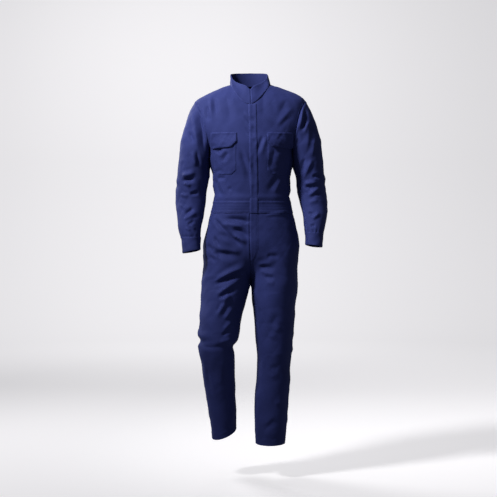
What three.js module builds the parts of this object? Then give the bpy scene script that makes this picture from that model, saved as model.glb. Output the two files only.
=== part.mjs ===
import * as THREE from "three";

// A boiler suit, hollow and filled out as it is worn by a standing figure, with the right knee bent.
// Lengths are millimetres. The origin is the middle of the neck, level with the shoulders' highest points.
// +Z is up, the front faces -Y, and the wearer's left is +X. "down" is a distance below the origin.

// Cloth and seams
const CLOTH = 1.6;
const BAND_CLOTH = 2.6;
const BAND_PROUD = 0.8;
const SEAM = 0.3;
const ON_PANEL = 1.0;
const PATCH_CLOTH = 1.3;

// Where the main seams lie, as distances below the shoulders
const SHOULDER_TIP = 64;
const UNDERARM = 262;
const WAIST_SEAM = 476;
const BAND_BOTTOM = 525;
const FORK_START = 600;
const CROTCH = 803;

// Neck and collar
const NECK_DROP = 83;
const NECK_RIGHT = 83.4;
const NECK_LEFT = 77.4;
const NECK_CURVE = 2.2;

const { clamp, degToRad, radToDeg, smoothstep, lerp } = THREE.MathUtils;
const vector = (x, y, z) => new THREE.Vector3(x, y, z);

// The rows of a table that runs down the garment, joined by smooth curves and carried on straight past its ends
function graded(rows) {
  const columns = Object.keys(rows[0]).filter((name) => name !== "down");
  const last = rows.length - 1;
  const slope = (name, i) => {
    const above = rows[Math.max(i - 1, 0)];
    const below = rows[Math.min(i + 1, last)];
    return (below[name] - above[name]) / (below.down - above.down);
  };
  return (down) => {
    const inside = clamp(down, rows[0].down, rows[last].down);
    let i = 0;
    while (i < last - 1 && inside > rows[i + 1].down) i++;
    const span = rows[i + 1].down - rows[i].down;
    const t = (inside - rows[i].down) / span;
    const made = {};
    for (const name of columns) {
      const start = rows[i][name];
      const rise = rows[i + 1][name] - start;
      const startSlope = slope(name, i) * span;
      const endSlope = slope(name, i + 1) * span;
      const bend = 3 * rise - 2 * startSlope - endSlope;
      const twist = startSlope + endSlope - 2 * rise;
      made[name] = start + t * (startSlope + t * (bend + t * twist));
      if (down !== inside) made[name] += slope(name, inside === rows[0].down ? 0 : last) * (down - inside);
    }
    return made;
  };
}

// Shoulders, chest, waist and hips as level rounds: reach to each side of the middle, and to front and back.
// "middle" is how far behind the origin the side line lies, and "square" squares the corners of the round.
const bodyAt = graded([
  { down: 0, right: 84, left: 78, front: 46, back: 52, middle: 4, square: 2.0 },
  { down: 6, right: 100, left: 98, front: 52, back: 60, middle: 4, square: 2.0 },
  { down: 12, right: 115, left: 118, front: 58, back: 67, middle: 4, square: 2.0 },
  { down: 29, right: 153, left: 163, front: 68, back: 82, middle: 4, square: 2.05 },
  { down: 45, right: 190, left: 197, front: 77, back: 92, middle: 4, square: 2.1 },
  { down: 64, right: 222, left: 219, front: 86, back: 100, middle: 4, square: 2.15 },
  { down: 90, right: 231, left: 226, front: 97, back: 108, middle: 4, square: 2.2 },
  { down: 120, right: 229, left: 225, front: 107, back: 114, middle: 4, square: 2.25 },
  { down: 160, right: 220, left: 217, front: 118, back: 119, middle: 3, square: 2.3 },
  { down: 205, right: 203, left: 202, front: 126, back: 120, middle: 2, square: 2.35 },
  { down: 240, right: 184, left: 184, front: 129, back: 116, middle: 0, square: 2.35 },
  { down: 262, right: 171, left: 171, front: 129, back: 112, middle: 0, square: 2.35 },
  { down: 300, right: 168, left: 169, front: 127, back: 105, middle: 0, square: 2.35 },
  { down: 332, right: 164.5, left: 167.5, front: 124, back: 99, middle: 0, square: 2.35 },
  { down: 381, right: 156, left: 163, front: 119, back: 92, middle: 0, square: 2.3 },
  { down: 440, right: 152, left: 160, front: 113, back: 87, middle: 0, square: 2.3 },
  { down: 480, right: 156, left: 164, front: 111, back: 89, middle: 0, square: 2.3 },
  { down: 529, right: 165, left: 172, front: 111, back: 99, middle: 0, square: 2.3 },
  { down: 578, right: 178, left: 184, front: 112, back: 113, middle: 0, square: 2.35 },
  { down: 627, right: 189, left: 195, front: 112, back: 127, middle: 0, square: 2.4 },
  { down: 676, right: 195, left: 196, front: 111, back: 134, middle: 0, square: 2.4 },
  { down: 740, right: 196, left: 194, front: 110, back: 136, middle: 0, square: 2.4 },
  { down: 800, right: 200, left: 191, front: 108, back: 132, middle: 0, square: 2.4 },
]);

// The armhole seam's distance from the middle, seen from the front and from the back
const armholeAt = graded([
  { down: 64, front: 1.0, back: 1.0 },
  { down: 90, front: 0.93, back: 0.95 },
  { down: 120, front: 0.885, back: 0.91 },
  { down: 160, front: 0.865, back: 0.89 },
  { down: 205, front: 0.885, back: 0.905 },
  { down: 240, front: 0.94, back: 0.95 },
  { down: 262, front: 1.0, back: 1.0 },
]);

// The front opening's distance from the middle, towards the wearer's left, from the neck down to the crotch
const openingAt = graded([
  { down: 60, x: -3 },
  { down: 300, x: 1 },
  { down: 500, x: 3 },
  { down: 540, x: -5 },
  { down: 700, x: -3 },
  { down: 803, x: 0 },
]);

// Each leg as rounds about its own middle: inner and outer edges from the suit's middle, then front and back
const legAt = {
  right: graded([
    { down: 600, inner: 0, outer: 188, front: 118, back: 120, middle: 12 },
    { down: 700, inner: 0, outer: 196, front: 118, back: 126, middle: 12 },
    { down: 803, inner: 0.3, outer: 200, front: 116, back: 120, middle: 9 },
    { down: 849, inner: 12, outer: 204, front: 112, back: 112, middle: 0 },
    { down: 898, inner: 25, outer: 205, front: 106, back: 104, middle: -9 },
    { down: 947, inner: 37, outer: 209, front: 99, back: 96, middle: -19 },
    { down: 996, inner: 45, outer: 212, front: 92, back: 88, middle: -30 },
    { down: 1021, inner: 49, outer: 217, front: 89, back: 85, middle: -36 },
    { down: 1043, inner: 56, outer: 207, front: 86, back: 80, middle: -40 },
    { down: 1066, inner: 73, outer: 212, front: 84, back: 80, middle: -38 },
    { down: 1100, inner: 69, outer: 211, front: 82, back: 82, middle: -32 },
    { down: 1144, inner: 66, outer: 202, front: 79, back: 84, middle: -22 },
    { down: 1242, inner: 65, outer: 189, front: 73, back: 84, middle: 0 },
    { down: 1341, inner: 61, outer: 173, front: 69, back: 80, middle: 22 },
    { down: 1434, inner: 60, outer: 161, front: 68, back: 78, middle: 42 },
  ]),
  left: graded([
    { down: 600, inner: 0, outer: 190, front: 118, back: 120, middle: 12 },
    { down: 700, inner: 0, outer: 194, front: 118, back: 126, middle: 12 },
    { down: 803, inner: 0.3, outer: 190.5, front: 116, back: 120, middle: 9 },
    { down: 849, inner: 4, outer: 189, front: 108, back: 111, middle: 7 },
    { down: 898, inner: 8, outer: 184, front: 102, back: 102, middle: 5 },
    { down: 996, inner: 16, outer: 176, front: 91, back: 89, middle: 1 },
    { down: 1066, inner: 22, outer: 170, front: 84, back: 80, middle: 0 },
    { down: 1110, inner: 26, outer: 165, front: 80, back: 78, middle: 1 },
    { down: 1156, inner: 24, outer: 163, front: 77, back: 80, middle: 3 },
    { down: 1242, inner: 20, outer: 159, front: 73, back: 84, middle: 6 },
    { down: 1341, inner: 16, outer: 152, front: 70, back: 82, middle: 9 },
    { down: 1439, inner: 16, outer: 144, front: 69, back: 79, middle: 11 },
    { down: 1471, inner: 19, outer: 140, front: 69, back: 78, middle: 12 },
  ]),
};

// Each hem's middle, and how much it rises towards the wearer's left and towards the back
const hems = {
  right: { down: 1437, riseLeft: 0.38, riseBack: 0.16 },
  left: { down: 1473, riseLeft: 0, riseBack: 0.02 },
};
const HEM_TILT_START = 1180;

// Each sleeve below the armpit, and its cuff, as rounds: inner and outer edges from the suit's middle
const sleeveAt = {
  right: graded([
    { down: 340, inner: 167.5, outer: 300, front: 70, back: 72, middle: 6 },
    { down: 381, inner: 172, outer: 303, front: 67, back: 68, middle: 8 },
    { down: 430, inner: 180, outer: 308, front: 63, back: 65, middle: 8 },
    { down: 480, inner: 184, outer: 308, front: 60, back: 62, middle: 1 },
    { down: 529, inner: 193, outer: 303, front: 56, back: 57, middle: -13 },
    { down: 578, inner: 201, outer: 297, front: 51, back: 52, middle: -29 },
    { down: 610, inner: 204, outer: 289, front: 46, back: 47, middle: -40 },
    { down: 621, inner: 205, outer: 285, front: 43, back: 44, middle: -43 },
    { down: 678, inner: 206, outer: 276, front: 41, back: 42, middle: -60 },
  ]),
  left: graded([
    { down: 340, inner: 172, outer: 300, front: 70, back: 72, middle: 6 },
    { down: 381, inner: 184, outer: 303, front: 67, back: 68, middle: 8 },
    { down: 430, inner: 189, outer: 308, front: 63, back: 65, middle: 8 },
    { down: 480, inner: 197, outer: 312, front: 59, back: 61, middle: 0 },
    { down: 529, inner: 209, outer: 312, front: 55, back: 56, middle: -15 },
    { down: 578, inner: 217, outer: 302, front: 48, back: 49, middle: -32 },
    { down: 592, inner: 219, outer: 298, front: 45, back: 46, middle: -37 },
    { down: 602, inner: 221, outer: 294, front: 43, back: 44, middle: -40 },
    { down: 661, inner: 222, outer: 289, front: 41, back: 42, middle: -58 },
  ]),
};
const cuffs = {
  right: { top: 621, bottom: 680, riseLeft: 0.2, riseBack: -0.12 },
  left: { top: 602, bottom: 658, riseLeft: -0.14, riseBack: -0.12 },
};
const SLEEVE_HEAD_END = 340;

// The largest folds, as soft ridges (high above 0) and troughs (below 0), seen from the front or the back.
// x is towards the wearer's left.
const folds = [
  // Drag lines across the right hip, from the waist to the fork
  { face: "front", x1: -122, down1: 558, x2: -18, down2: 574, wide: 15, high: -4.5 },
  { face: "front", x1: -78, down1: 592, x2: -12, down2: 632, wide: 14, high: -3.5 },
  { face: "front", x1: -146, down1: 545, x2: -30, down2: 660, wide: 13, high: -5 },
  { face: "front", x1: -138, down1: 668, x2: -28, down2: 677, wide: 15, high: 3.5 },
  { face: "front", x1: -146, down1: 690, x2: -36, down2: 714, wide: 15, high: -4 },
  // Folds that spread from the fork over the right thigh
  { face: "front", x1: -150, down1: 802, x2: -30, down2: 742, wide: 19, high: 6 },
  { face: "front", x1: -150, down1: 838, x2: -46, down2: 784, wide: 17, high: -5 },
  { face: "front", x1: -134, down1: 880, x2: -44, down2: 818, wide: 17, high: 5 },
  { face: "front", x1: -134, down1: 940, x2: -76, down2: 866, wide: 16, high: 4 },
  // The bent right knee
  { face: "front", x1: -150, down1: 1042, x2: -84, down2: 1030, wide: 15, high: 4.5 },
  { face: "front", x1: -190, down1: 1048, x2: -80, down2: 1058, wide: 13, high: -4 },
  { face: "back", x1: -200, down1: 1030, x2: -70, down2: 1048, wide: 16, high: -8 },
  { face: "back", x1: -205, down1: 1075, x2: -80, down2: 1062, wide: 15, high: 5 },
  // The left fork and shin
  { face: "front", x1: 26, down1: 742, x2: 104, down2: 750, wide: 12, high: -3.5 },
  { face: "front", x1: 36, down1: 774, x2: 100, down2: 786, wide: 13, high: -3.5 },
  { face: "front", x1: 48, down1: 1392, x2: 100, down2: 1344, wide: 16, high: 4 },
  // Both sleeves at the elbow
  { face: "front", x1: -278, down1: 384, x2: -204, down2: 410, wide: 13, high: -6 },
  { face: "front", x1: -276, down1: 405, x2: -212, down2: 436, wide: 12, high: 5 },
  { face: "front", x1: -266, down1: 526, x2: -222, down2: 500, wide: 13, high: -4.5 },
  { face: "front", x1: 250, down1: 303, x2: 206, down2: 397, wide: 12, high: 5 },
  { face: "front", x1: 220, down1: 412, x2: 290, down2: 424, wide: 13, high: -5 },
  { face: "front", x1: 240, down1: 448, x2: 280, down2: 398, wide: 13, high: 4.5 },
  // Chest, from the left shoulder towards the opening
  { face: "front", x1: 180, down1: 84, x2: 98, down2: 176, wide: 20, high: 4.5 },
  { face: "front", x1: -176, down1: 98, x2: -172, down2: 190, wide: 14, high: -4.5 },
  // Seat and back waist
  { face: "back", x1: -120, down1: 742, x2: -14, down2: 700, wide: 18, high: -5 },
  { face: "back", x1: 120, down1: 745, x2: 14, down2: 702, wide: 18, high: -5 },
  { face: "back", x1: -140, down1: 846, x2: -40, down2: 812, wide: 20, high: -5 },
  { face: "back", x1: 136, down1: 846, x2: 36, down2: 812, wide: 20, high: -5 },
  { face: "back", x1: -110, down1: 432, x2: 100, down2: 438, wide: 17, high: 4.5 },
];

function foldHeight(point, normal) {
  const down = -point.z;
  let height = 0;
  for (const fold of folds) {
    const facing = smoothstep(fold.face === "front" ? -normal.y : normal.y, 0.05, 0.6);
    const runX = fold.x2 - fold.x1;
    const runDown = fold.down2 - fold.down1;
    const length = Math.hypot(runX, runDown);
    const along = ((point.x - fold.x1) * runX + (down - fold.down1) * runDown) / length;
    const away = ((point.x - fold.x1) * runDown - (down - fold.down1) * runX) / length;
    const past = Math.max(0, fold.wide - along, along - length + fold.wide);
    height += facing * fold.high * Math.exp(-((away / fold.wide) ** 2) - (past / fold.wide) ** 2);
  }
  return height;
}

// A skin is a smooth surface given by two numbers. skinNormal is the way it faces, turned to point away from
// the inside of the garment by its sign.
function skinNormal(skin, a, b) {
  const acrossStep = vector().subVectors(skin(a + skin.stepA, b), skin(a - skin.stepA, b));
  const alongStep = vector().subVectors(skin(a, b + skin.stepB), skin(a, b - skin.stepB));
  return acrossStep.cross(alongStep).normalize().multiplyScalar(skin.sign);
}

// A point of the cloth: on the skin, moved out by its folds and by the layers under it
function clothPoint(skin, a, b, out) {
  const base = skin(a, b);
  const normal = skinNormal(skin, a, b);
  const height = skin.plain ? 0 : foldHeight(base, normal);
  return base.addScaledVector(normal, height + out);
}

// A wall of cloth over the cells of a panel. place(u, v) gives the skin's two numbers for u across and v along,
// and proud(u, v) how far the wall's outer side is above the skin.
function clothWall(skin, place, across, along, thickness, { proud = () => 0, round = false } = {}) {
  const layers = [0, thickness].map((depth) =>
    along.map((v) => across.map((u) => clothPoint(skin, ...place(u, v), proud(u, v) - depth))),
  );
  return gridSolid(layers, round);
}

// The closed solid between an outer and an inner grid of points
function gridSolid([outer, inner], round) {
  const rows = outer.length;
  const columns = outer[0].length;
  const positions = [...outer.flat(), ...inner.flat()].flatMap((p) => [p.x, p.y, p.z]);
  const outerAt = (i, j) => j * columns + (i % columns);
  const innerAt = (i, j) => rows * columns + outerAt(i, j);
  const faces = [];
  const quad = (a, b, c, d) => faces.push(a, b, c, a, c, d);
  const lastColumn = round ? columns : columns - 1;
  for (let j = 0; j < rows - 1; j++) {
    for (let i = 0; i < lastColumn; i++) {
      quad(outerAt(i, j), outerAt(i, j + 1), outerAt(i + 1, j + 1), outerAt(i + 1, j));
      quad(innerAt(i, j), innerAt(i + 1, j), innerAt(i + 1, j + 1), innerAt(i, j + 1));
    }
  }
  for (let i = 0; i < lastColumn; i++) {
    quad(outerAt(i, 0), outerAt(i + 1, 0), innerAt(i + 1, 0), innerAt(i, 0));
    quad(outerAt(i, rows - 1), innerAt(i, rows - 1), innerAt(i + 1, rows - 1), outerAt(i + 1, rows - 1));
  }
  if (!round) {
    for (let j = 0; j < rows - 1; j++) {
      quad(outerAt(0, j), innerAt(0, j), innerAt(0, j + 1), outerAt(0, j + 1));
      quad(outerAt(columns - 1, j), outerAt(columns - 1, j + 1), innerAt(columns - 1, j + 1), innerAt(columns - 1, j));
    }
  }
  const geometry = new THREE.BufferGeometry();
  geometry.setAttribute("position", new THREE.Float32BufferAttribute(positions, 3));
  geometry.setIndex(faces);
  if (signedVolume(positions, faces) < 0) {
    for (let k = 0; k < faces.length; k += 3) [faces[k + 1], faces[k + 2]] = [faces[k + 2], faces[k + 1]];
    geometry.setIndex(faces);
  }
  geometry.computeVertexNormals();
  return geometry;
}

function signedVolume(positions, faces) {
  const corner = (k) => vector().fromArray(positions, 3 * k);
  let volume = 0;
  for (let k = 0; k < faces.length; k += 3) {
    volume += corner(faces[k]).dot(corner(faces[k + 1]).cross(corner(faces[k + 2])));
  }
  return volume;
}

const evenly = (count, from = 0, to = 1) =>
  Array.from({ length: count + 1 }, (_, i) => lerp(from, to, i / count));
const signOf = { left: 1, right: -1 };

// Body

// A point on the body's round. angle is 0 at the front, 90 at the wearer's left side and -90 at the right.
function bodySkin(angle, down) {
  const row = bodyAt(down);
  const turn = degToRad(angle);
  const power = 2 / row.square;
  const reach = Math.sin(turn) > 0 ? row.left : row.right;
  const depth = Math.cos(turn) > 0 ? -row.front : row.back;
  return vector(
    Math.sign(Math.sin(turn)) * reach * Math.abs(Math.sin(turn)) ** power,
    row.middle + depth * Math.abs(Math.cos(turn)) ** power,
    -down,
  );
}
Object.assign(bodySkin, { stepA: 0.5, stepB: 1, sign: -1 });

// The angle at which the front of the body's round reaches x
function bodyAngle(x, down) {
  const row = bodyAt(down);
  const share = clamp(Math.abs(x) / (x > 0 ? row.left : row.right), 0, 1);
  return Math.sign(x) * radToDeg(Math.asin(share ** (row.square / 2)));
}

function armholeAngle(side, face, down) {
  if (down <= SHOULDER_TIP || down >= UNDERARM) return 90 * signOf[side];
  const x = armholeAt(down)[face] * bodyAt(down)[side] * signOf[side];
  return bodyAngle(x, down);
}

// The front neckline: a round scoop from the side neck points to the opening
function necklineX(side, down) {
  const half = side === "left" ? NECK_LEFT : NECK_RIGHT;
  return signOf[side] * half * Math.max(0, 1 - down / NECK_DROP) ** (1 / NECK_CURVE);
}
function necklineDown(x) {
  const half = x > 0 ? NECK_LEFT : NECK_RIGHT;
  return NECK_DROP * (1 - clamp(Math.abs(x) / half, 0, 1) ** NECK_CURVE);
}

// The armhole's level at each turn round the sleeve: turn 0 is the underarm and 0.5 the shoulder tip
const SLEEVE_COLUMNS = 20;
const armholeDown = (turn) => lerp(UNDERARM, SHOULDER_TIP, (1 - Math.cos(2 * Math.PI * turn)) / 2);

const SHOULDER_ROWS = [0.2, 6, 12, 20, 29, 38, 48, 57];
const ARMHOLE_ROWS = evenly(SLEEVE_COLUMNS / 2, 0.5, 0).map(armholeDown);
const WAIST_ROWS = [274, 298, 330, 362, 388, 412, 436, 456, WAIST_SEAM - SEAM];
const BODICE_ROWS = [...SHOULDER_ROWS, ...ARMHOLE_ROWS, ...WAIST_ROWS];

// The width of a seam's half gap, as an angle of the body's round
function seamAngle(down) {
  return radToDeg(SEAM / 2 / Math.max(bodyAt(down).back, 60)) * 1.2;
}

function bodiceFront(side) {
  const sign = signOf[side];
  const place = (u, down) => {
    const opening = openingAt(down).x + (sign * SEAM) / 2;
    const inner = down < NECK_DROP ? necklineX(side, down) : opening;
    const innerAngle = sign * Math.max(sign * bodyAngle(inner, down), sign * bodyAngle(opening, down));
    const outerAngle = armholeAngle(side, "front", down) - sign * seamAngle(down);
    return [lerp(innerAngle, outerAngle, u), down];
  };
  return clothWall(bodySkin, place, evenly(9), BODICE_ROWS, CLOTH);
}

function bodiceBack() {
  const place = (u, down) => {
    const toLeft = armholeAngle("left", "back", down) - seamAngle(down);
    const toRight = -armholeAngle("right", "back", down) - seamAngle(down);
    return [180 + lerp(-toLeft, toRight, u), down];
  };
  return clothWall(bodySkin, place, evenly(14), BODICE_ROWS, CLOTH);
}

// Trousers

// A point on one leg's round: turn is 0 at the inside, 0.25 at the front, 0.5 outside and 0.75 at the back
function legPoint(side, turn, down) {
  const row = legAt[side](down);
  const hem = hems[side];
  const inner = Math.max(row.inner, SEAM);
  const centre = (inner + row.outer) / 2;
  const angle = 2 * Math.PI * turn;
  const x = signOf[side] * (centre - ((row.outer - inner) / 2) * Math.cos(angle));
  const y = row.middle - (Math.sin(angle) > 0 ? row.front : row.back) * Math.sin(angle);
  const tilt = smoothstep(down, HEM_TILT_START, hem.down);
  const lift = hem.riseLeft * (x - signOf[side] * centre) + hem.riseBack * (y - row.middle);
  return vector(x, y, -down + tilt * lift);
}

// How far a point of the trousers has gone over from the hips' one round to its leg's round. Next to the
// middle seam it turns under the body at the crotch, and further out it goes over gently, down the thigh.
const THIGH_END = 915;
function forked(u, down) {
  const outwards = smoothstep(u, 0, 0.42);
  const share = clamp((down - FORK_START) / (lerp(CROTCH, THIGH_END, outwards) - FORK_START), 0, 1);
  return lerp(share ** 3, share * share * (3 - 2 * share), outwards);
}

// The front or back of one trouser leg, with u from the middle seam or inseam to the side seam
function trouserSkin(side, face) {
  const sign = signOf[side];
  const skin = (u, down) => {
    const start = face === "front" ? bodyAngle(openingAt(down).x, down) : 180 * sign;
    const hip = bodySkin(lerp(start, 90 * sign, u), down);
    if (down <= FORK_START) return hip;
    const leg = legPoint(side, face === "front" ? u / 2 : 1 - u / 2, down);
    return hip.lerp(leg, forked(u, down));
  };
  return Object.assign(skin, { stepA: 0.002, stepB: 0.5, sign: face === "front" ? -sign : sign });
}

const RISE_ROWS = [15, 30, 44, 57, 69, 80, 90].map(
  (angle) => lerp(FORK_START, CROTCH, Math.sin(degToRad(angle))),
);

function legRows(side) {
  const knee = side === "right"
    ? [975, 1004, 1022, 1040, 1056, 1074, 1098, 1130]
    : [980, 1030, 1072, 1112, 1160];
  const shin = evenly(7, side === "right" ? 1175 : 1210, hems[side].down);
  return [BAND_BOTTOM + SEAM, 548, 574, FORK_START, ...RISE_ROWS, 815, 830, 848, 872, 902, 938, ...knee, ...shin];
}

// The bent right leg is two solids, above and below the knee, so that its collision stays open. No seam is there
// on the garment.
const KNEE_SPLIT = 1040;

function trouserPanel(side, face, part = "whole") {
  const skin = trouserSkin(side, face);
  const seamShare = (u, step, down) => (step * SEAM) / 2 / skin(u, down).distanceTo(skin(u + step, down));
  const place = (u, down) => {
    const share = lerp(seamShare(0, 0.001, down), 1 + seamShare(1, -0.001, down), u);
    return [share, down];
  };
  const rows = {
    whole: legRows(side),
    upper: [...legRows(side).filter((down) => down < KNEE_SPLIT), KNEE_SPLIT - SEAM / 2],
    lower: [KNEE_SPLIT + SEAM / 2, ...legRows(side).filter((down) => down > KNEE_SPLIT)],
  };
  return clothWall(skin, place, evenly(8), rows[part], CLOTH);
}

// Sleeves and cuffs

// A point of the armhole seam: up the front from the underarm at turn 0, over the shoulder tip, down the back
function armholePoint(side, turn) {
  const share = ((turn % 1) + 1) % 1;
  const down = armholeDown(share);
  const angle = armholeAngle(side, share < 0.5 ? "front" : "back", down);
  return bodySkin(share < 0.5 ? angle : 180 * signOf[side] - angle, down);
}

function sleevePoint(side, turn, down, tilt = 0) {
  const { riseLeft, riseBack } = cuffs[side];
  const row = sleeveAt[side](down);
  const centre = (row.inner + row.outer) / 2;
  const angle = 2 * Math.PI * turn;
  const x = signOf[side] * (centre - ((row.outer - row.inner) / 2) * Math.cos(angle));
  const y = row.middle - (Math.sin(angle) > 0 ? row.front : row.back) * Math.sin(angle);
  const lift = riseLeft * (x - signOf[side] * centre) + riseBack * (y - row.middle);
  return vector(x, y, -down + tilt * lift);
}

// The sleeve: its head runs from the armhole (reach 0) to a level round below the armpit (reach 1), as curves
// that leave the shoulder outwards and the underarm straight down. Below that it follows the table (reach 2).
function sleeveSkin(side) {
  const sign = signOf[side];
  const skin = (turn, reach) => {
    const cuffTop = cuffs[side].top;
    if (reach >= 1) return sleevePoint(side, turn, lerp(SLEEVE_HEAD_END, cuffTop, reach - 1));
    const start = armholePoint(side, turn);
    const end = sleevePoint(side, turn, SLEEVE_HEAD_END);
    const length = start.distanceTo(end);
    const over = (1 - Math.cos(2 * Math.PI * turn)) / 2;
    const leave = vector(sign * lerp(0.03, 0.85, over), -0.12 * Math.sin(2 * Math.PI * turn), -1).normalize();
    const arrive = vector().subVectors(sleevePoint(side, turn, SLEEVE_HEAD_END + 4), end).normalize();
    const t = reach;
    return start.addScaledVector(leave, SEAM).multiplyScalar(2 * t ** 3 - 3 * t ** 2 + 1)
      .addScaledVector(leave, length * (t ** 3 - 2 * t ** 2 + t) * lerp(0.9, 0.75, over))
      .addScaledVector(end, -2 * t ** 3 + 3 * t ** 2)
      .addScaledVector(arrive, length * (t ** 3 - t ** 2) * lerp(0.5, 0.95, over));
  };
  return Object.assign(skin, { stepA: 0.01, stepB: 0.01, sign: -sign });
}

// A sleeve is cut in two, with seams where a turn of 0.1 and 0.6 lie: the upper sleeve is in front and outside,
// and the under sleeve is behind and inside
const SLEEVE_SEAMS = { upper: [0.1, 0.6], under: [0.6, 1.1] };

function sleeve(side, part) {
  const skin = sleeveSkin(side);
  const [from, to] = SLEEVE_SEAMS[part];
  const gap = (turn, reach) => (0.001 * SEAM) / 2 / skin(turn, reach).distanceTo(skin(turn + 0.001, reach));
  const place = (u, reach) => [lerp(from + gap(from, reach), to - gap(to, reach), u), reach];
  const head = [0, 0.07, 0.16, 0.28, 0.42, 0.58, 0.78];
  const arm = [...evenly(12, 1, 1.97), 1.9995];
  return clothWall(skin, place, evenly(SLEEVE_COLUMNS / 2), [...head, ...arm], CLOTH);
}

function cuff(side) {
  const { top, bottom } = cuffs[side];
  const skin = Object.assign((turn, down) => sleevePoint(side, turn, down, smoothstep(down, top, bottom)), {
    stepA: 0.01, stepB: 0.5, sign: -signOf[side], plain: true,
  });
  const around = evenly(SLEEVE_COLUMNS).slice(0, SLEEVE_COLUMNS);
  const rows = evenly(3, top + SEAM, bottom);
  return clothWall(skin, (turn, down) => [turn, down], around, rows, BAND_CLOTH, { proud: () => 0.6, round: true });
}

// Collar: a stand that follows the neckline, with its two ends meeting at the front in a notch

// How high the collar's top edge is at each angle from the front, with the notch between its ends at 0
const collarTop = graded([
  { down: 0, rise: -28 },
  { down: 6, rise: -20 },
  { down: 13, rise: -11 },
  { down: 35, rise: 0 },
  { down: 62, rise: 17 },
  { down: 90, rise: 40 },
  { down: 130, rise: 49 },
  { down: 180, rise: 52 },
]);
const COLLAR_LIFT = 1.6;
const COLLAR_COLUMNS = [0.6, 6, 13, 24, 35, 48, 62, 76, 90, 106, 124, 143, 162];

function collarSkin(angle, share) {
  const turn = degToRad(angle);
  const half = angle > 0 ? NECK_LEFT : NECK_RIGHT;
  const x = half * Math.sin(turn);
  const front = Math.abs(angle) < 90;
  const down = front ? necklineDown(x) : 0;
  const footAngle = front ? bodyAngle(x, down) : angle;
  const lift = lerp(0.1, COLLAR_LIFT, smoothstep(Math.cos(turn), -0.4, 0.3));
  const foot = bodySkin(footAngle, down);
  foot.addScaledVector(skinNormal(bodySkin, footAngle, down + 1.5), lift);
  const edge = vector(
    x * (angle > 0 ? 0.88 : 0.93) - 3,
    4 + (front ? -72 : 47) * Math.abs(Math.cos(turn)) ** 0.95,
    collarTop(Math.abs(angle)).rise,
  );
  return foot.lerp(edge, share);
}
Object.assign(collarSkin, { stepA: 0.5, stepB: 0.02, sign: 1, plain: true });

function collar() {
  const around = [...COLLAR_COLUMNS, 180, ...COLLAR_COLUMNS.toReversed().map((angle) => 360 - angle)];
  const place = (angle, share) => [angle > 180 ? angle - 360 : angle, share];
  return clothWall(collarSkin, place, around, [0.008, 0.3, 0.65, 1], BAND_CLOTH, { proud: () => 2.2 });
}

// Waistband: a band round the waist between the bodice and the trousers, open at the front under the placket

function waistband() {
  const place = (u, down) => {
    const opening = openingAt(WAIST_SEAM).x;
    const gap = SEAM / 2;
    const from = bodyAngle(opening + gap, down);
    const to = 360 + bodyAngle(opening - gap, down);
    return [lerp(from, to, u), down];
  };
  const rows = evenly(3, WAIST_SEAM, BAND_BOTTOM);
  return clothWall(bodySkin, place, evenly(32), rows, BAND_CLOTH, { proud: () => BAND_PROUD });
}

// Pieces that lie on the panels

function onBody(xAt, downAt, columns, rows, lift = () => ON_PANEL) {
  const place = (u, v) => {
    const down = downAt(u, v);
    return [bodyAngle(xAt(u, down), down), down];
  };
  const proud = (u, v) => lift(u, v) + PATCH_CLOTH;
  return clothWall(bodySkin, place, evenly(columns), evenly(rows), PATCH_CLOTH, { proud });
}

// The placket covers the front opening from the neckline to the bottom of the waistband
const PLACKET = { top: 86, bottom: 524, left: 23, right: 8 };

function placket() {
  const xAt = (u, down) => openingAt(Math.min(down, 500)).x + lerp(-PLACKET.right, PLACKET.left, u);
  const downAt = (u, v) => lerp(PLACKET.top, PLACKET.bottom, v);
  const lift = (u, v) => lerp(ON_PANEL, BAND_PROUD + 0.6, smoothstep(downAt(u, v), WAIST_SEAM - 22, WAIST_SEAM - 4));
  return onBody(xAt, downAt, 3, 26, lift);
}

// Chest pockets, with the corners cut off below, and their flaps
const POCKET = { inner: 63, outer: 150, top: 214, bottom: 370, corner: 18 };
const FLAP = { inner: 61, outer: 163, top: 202, bottom: 257, outerDrop: 9, corner: 20 };

function pocket(side) {
  const middle = 3;
  const xAt = (u) => middle + signOf[side] * lerp(POCKET.inner, POCKET.outer, u);
  const downAt = (u, v) => {
    const across = u * (POCKET.outer - POCKET.inner);
    const fromEnd = Math.min(across, POCKET.outer - POCKET.inner - across);
    return lerp(POCKET.top, POCKET.bottom - Math.max(0, POCKET.corner - fromEnd), v);
  };
  return onBody(xAt, downAt, 10, 8);
}

function flap(side) {
  const middle = 3;
  const width = FLAP.outer - FLAP.inner;
  const xAt = (u) => middle + signOf[side] * lerp(FLAP.inner, FLAP.outer, u);
  const downAt = (u, v) => {
    const across = u * width;
    const corner = Math.max(0, FLAP.corner - across, FLAP.corner / 2 - (width - across));
    return lerp(FLAP.top, FLAP.bottom + FLAP.outerDrop * u - corner, v);
  };
  return onBody(xAt, downAt, 12, 4, () => 2 * ON_PANEL + PATCH_CLOTH);
}

// The fly: a strip on the left trouser front, from the waistband down, curving in to the middle seam
const FLY = { top: 528, bottom: 716, wide: 34, curve: 60 };

function fly() {
  const skin = trouserSkin("left", "front");
  const place = (u, v) => {
    const down = lerp(FLY.top, FLY.bottom, v);
    const intoCurve = clamp((down - (FLY.bottom - FLY.curve)) / FLY.curve, 0, 1);
    const wide = FLY.wide * Math.sqrt(1 - 0.96 * intoCurve ** 2);
    const start = bodyAngle(openingAt(down).x, down);
    const reachX = bodyAngle(openingAt(down).x + wide, down);
    return [lerp(0.003, (reachX - start) / (90 - start), u), down];
  };
  return clothWall(skin, place, evenly(3), evenly(16), PATCH_CLOTH, { proud: () => ON_PANEL + PATCH_CLOTH });
}

// The boiler suit

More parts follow.
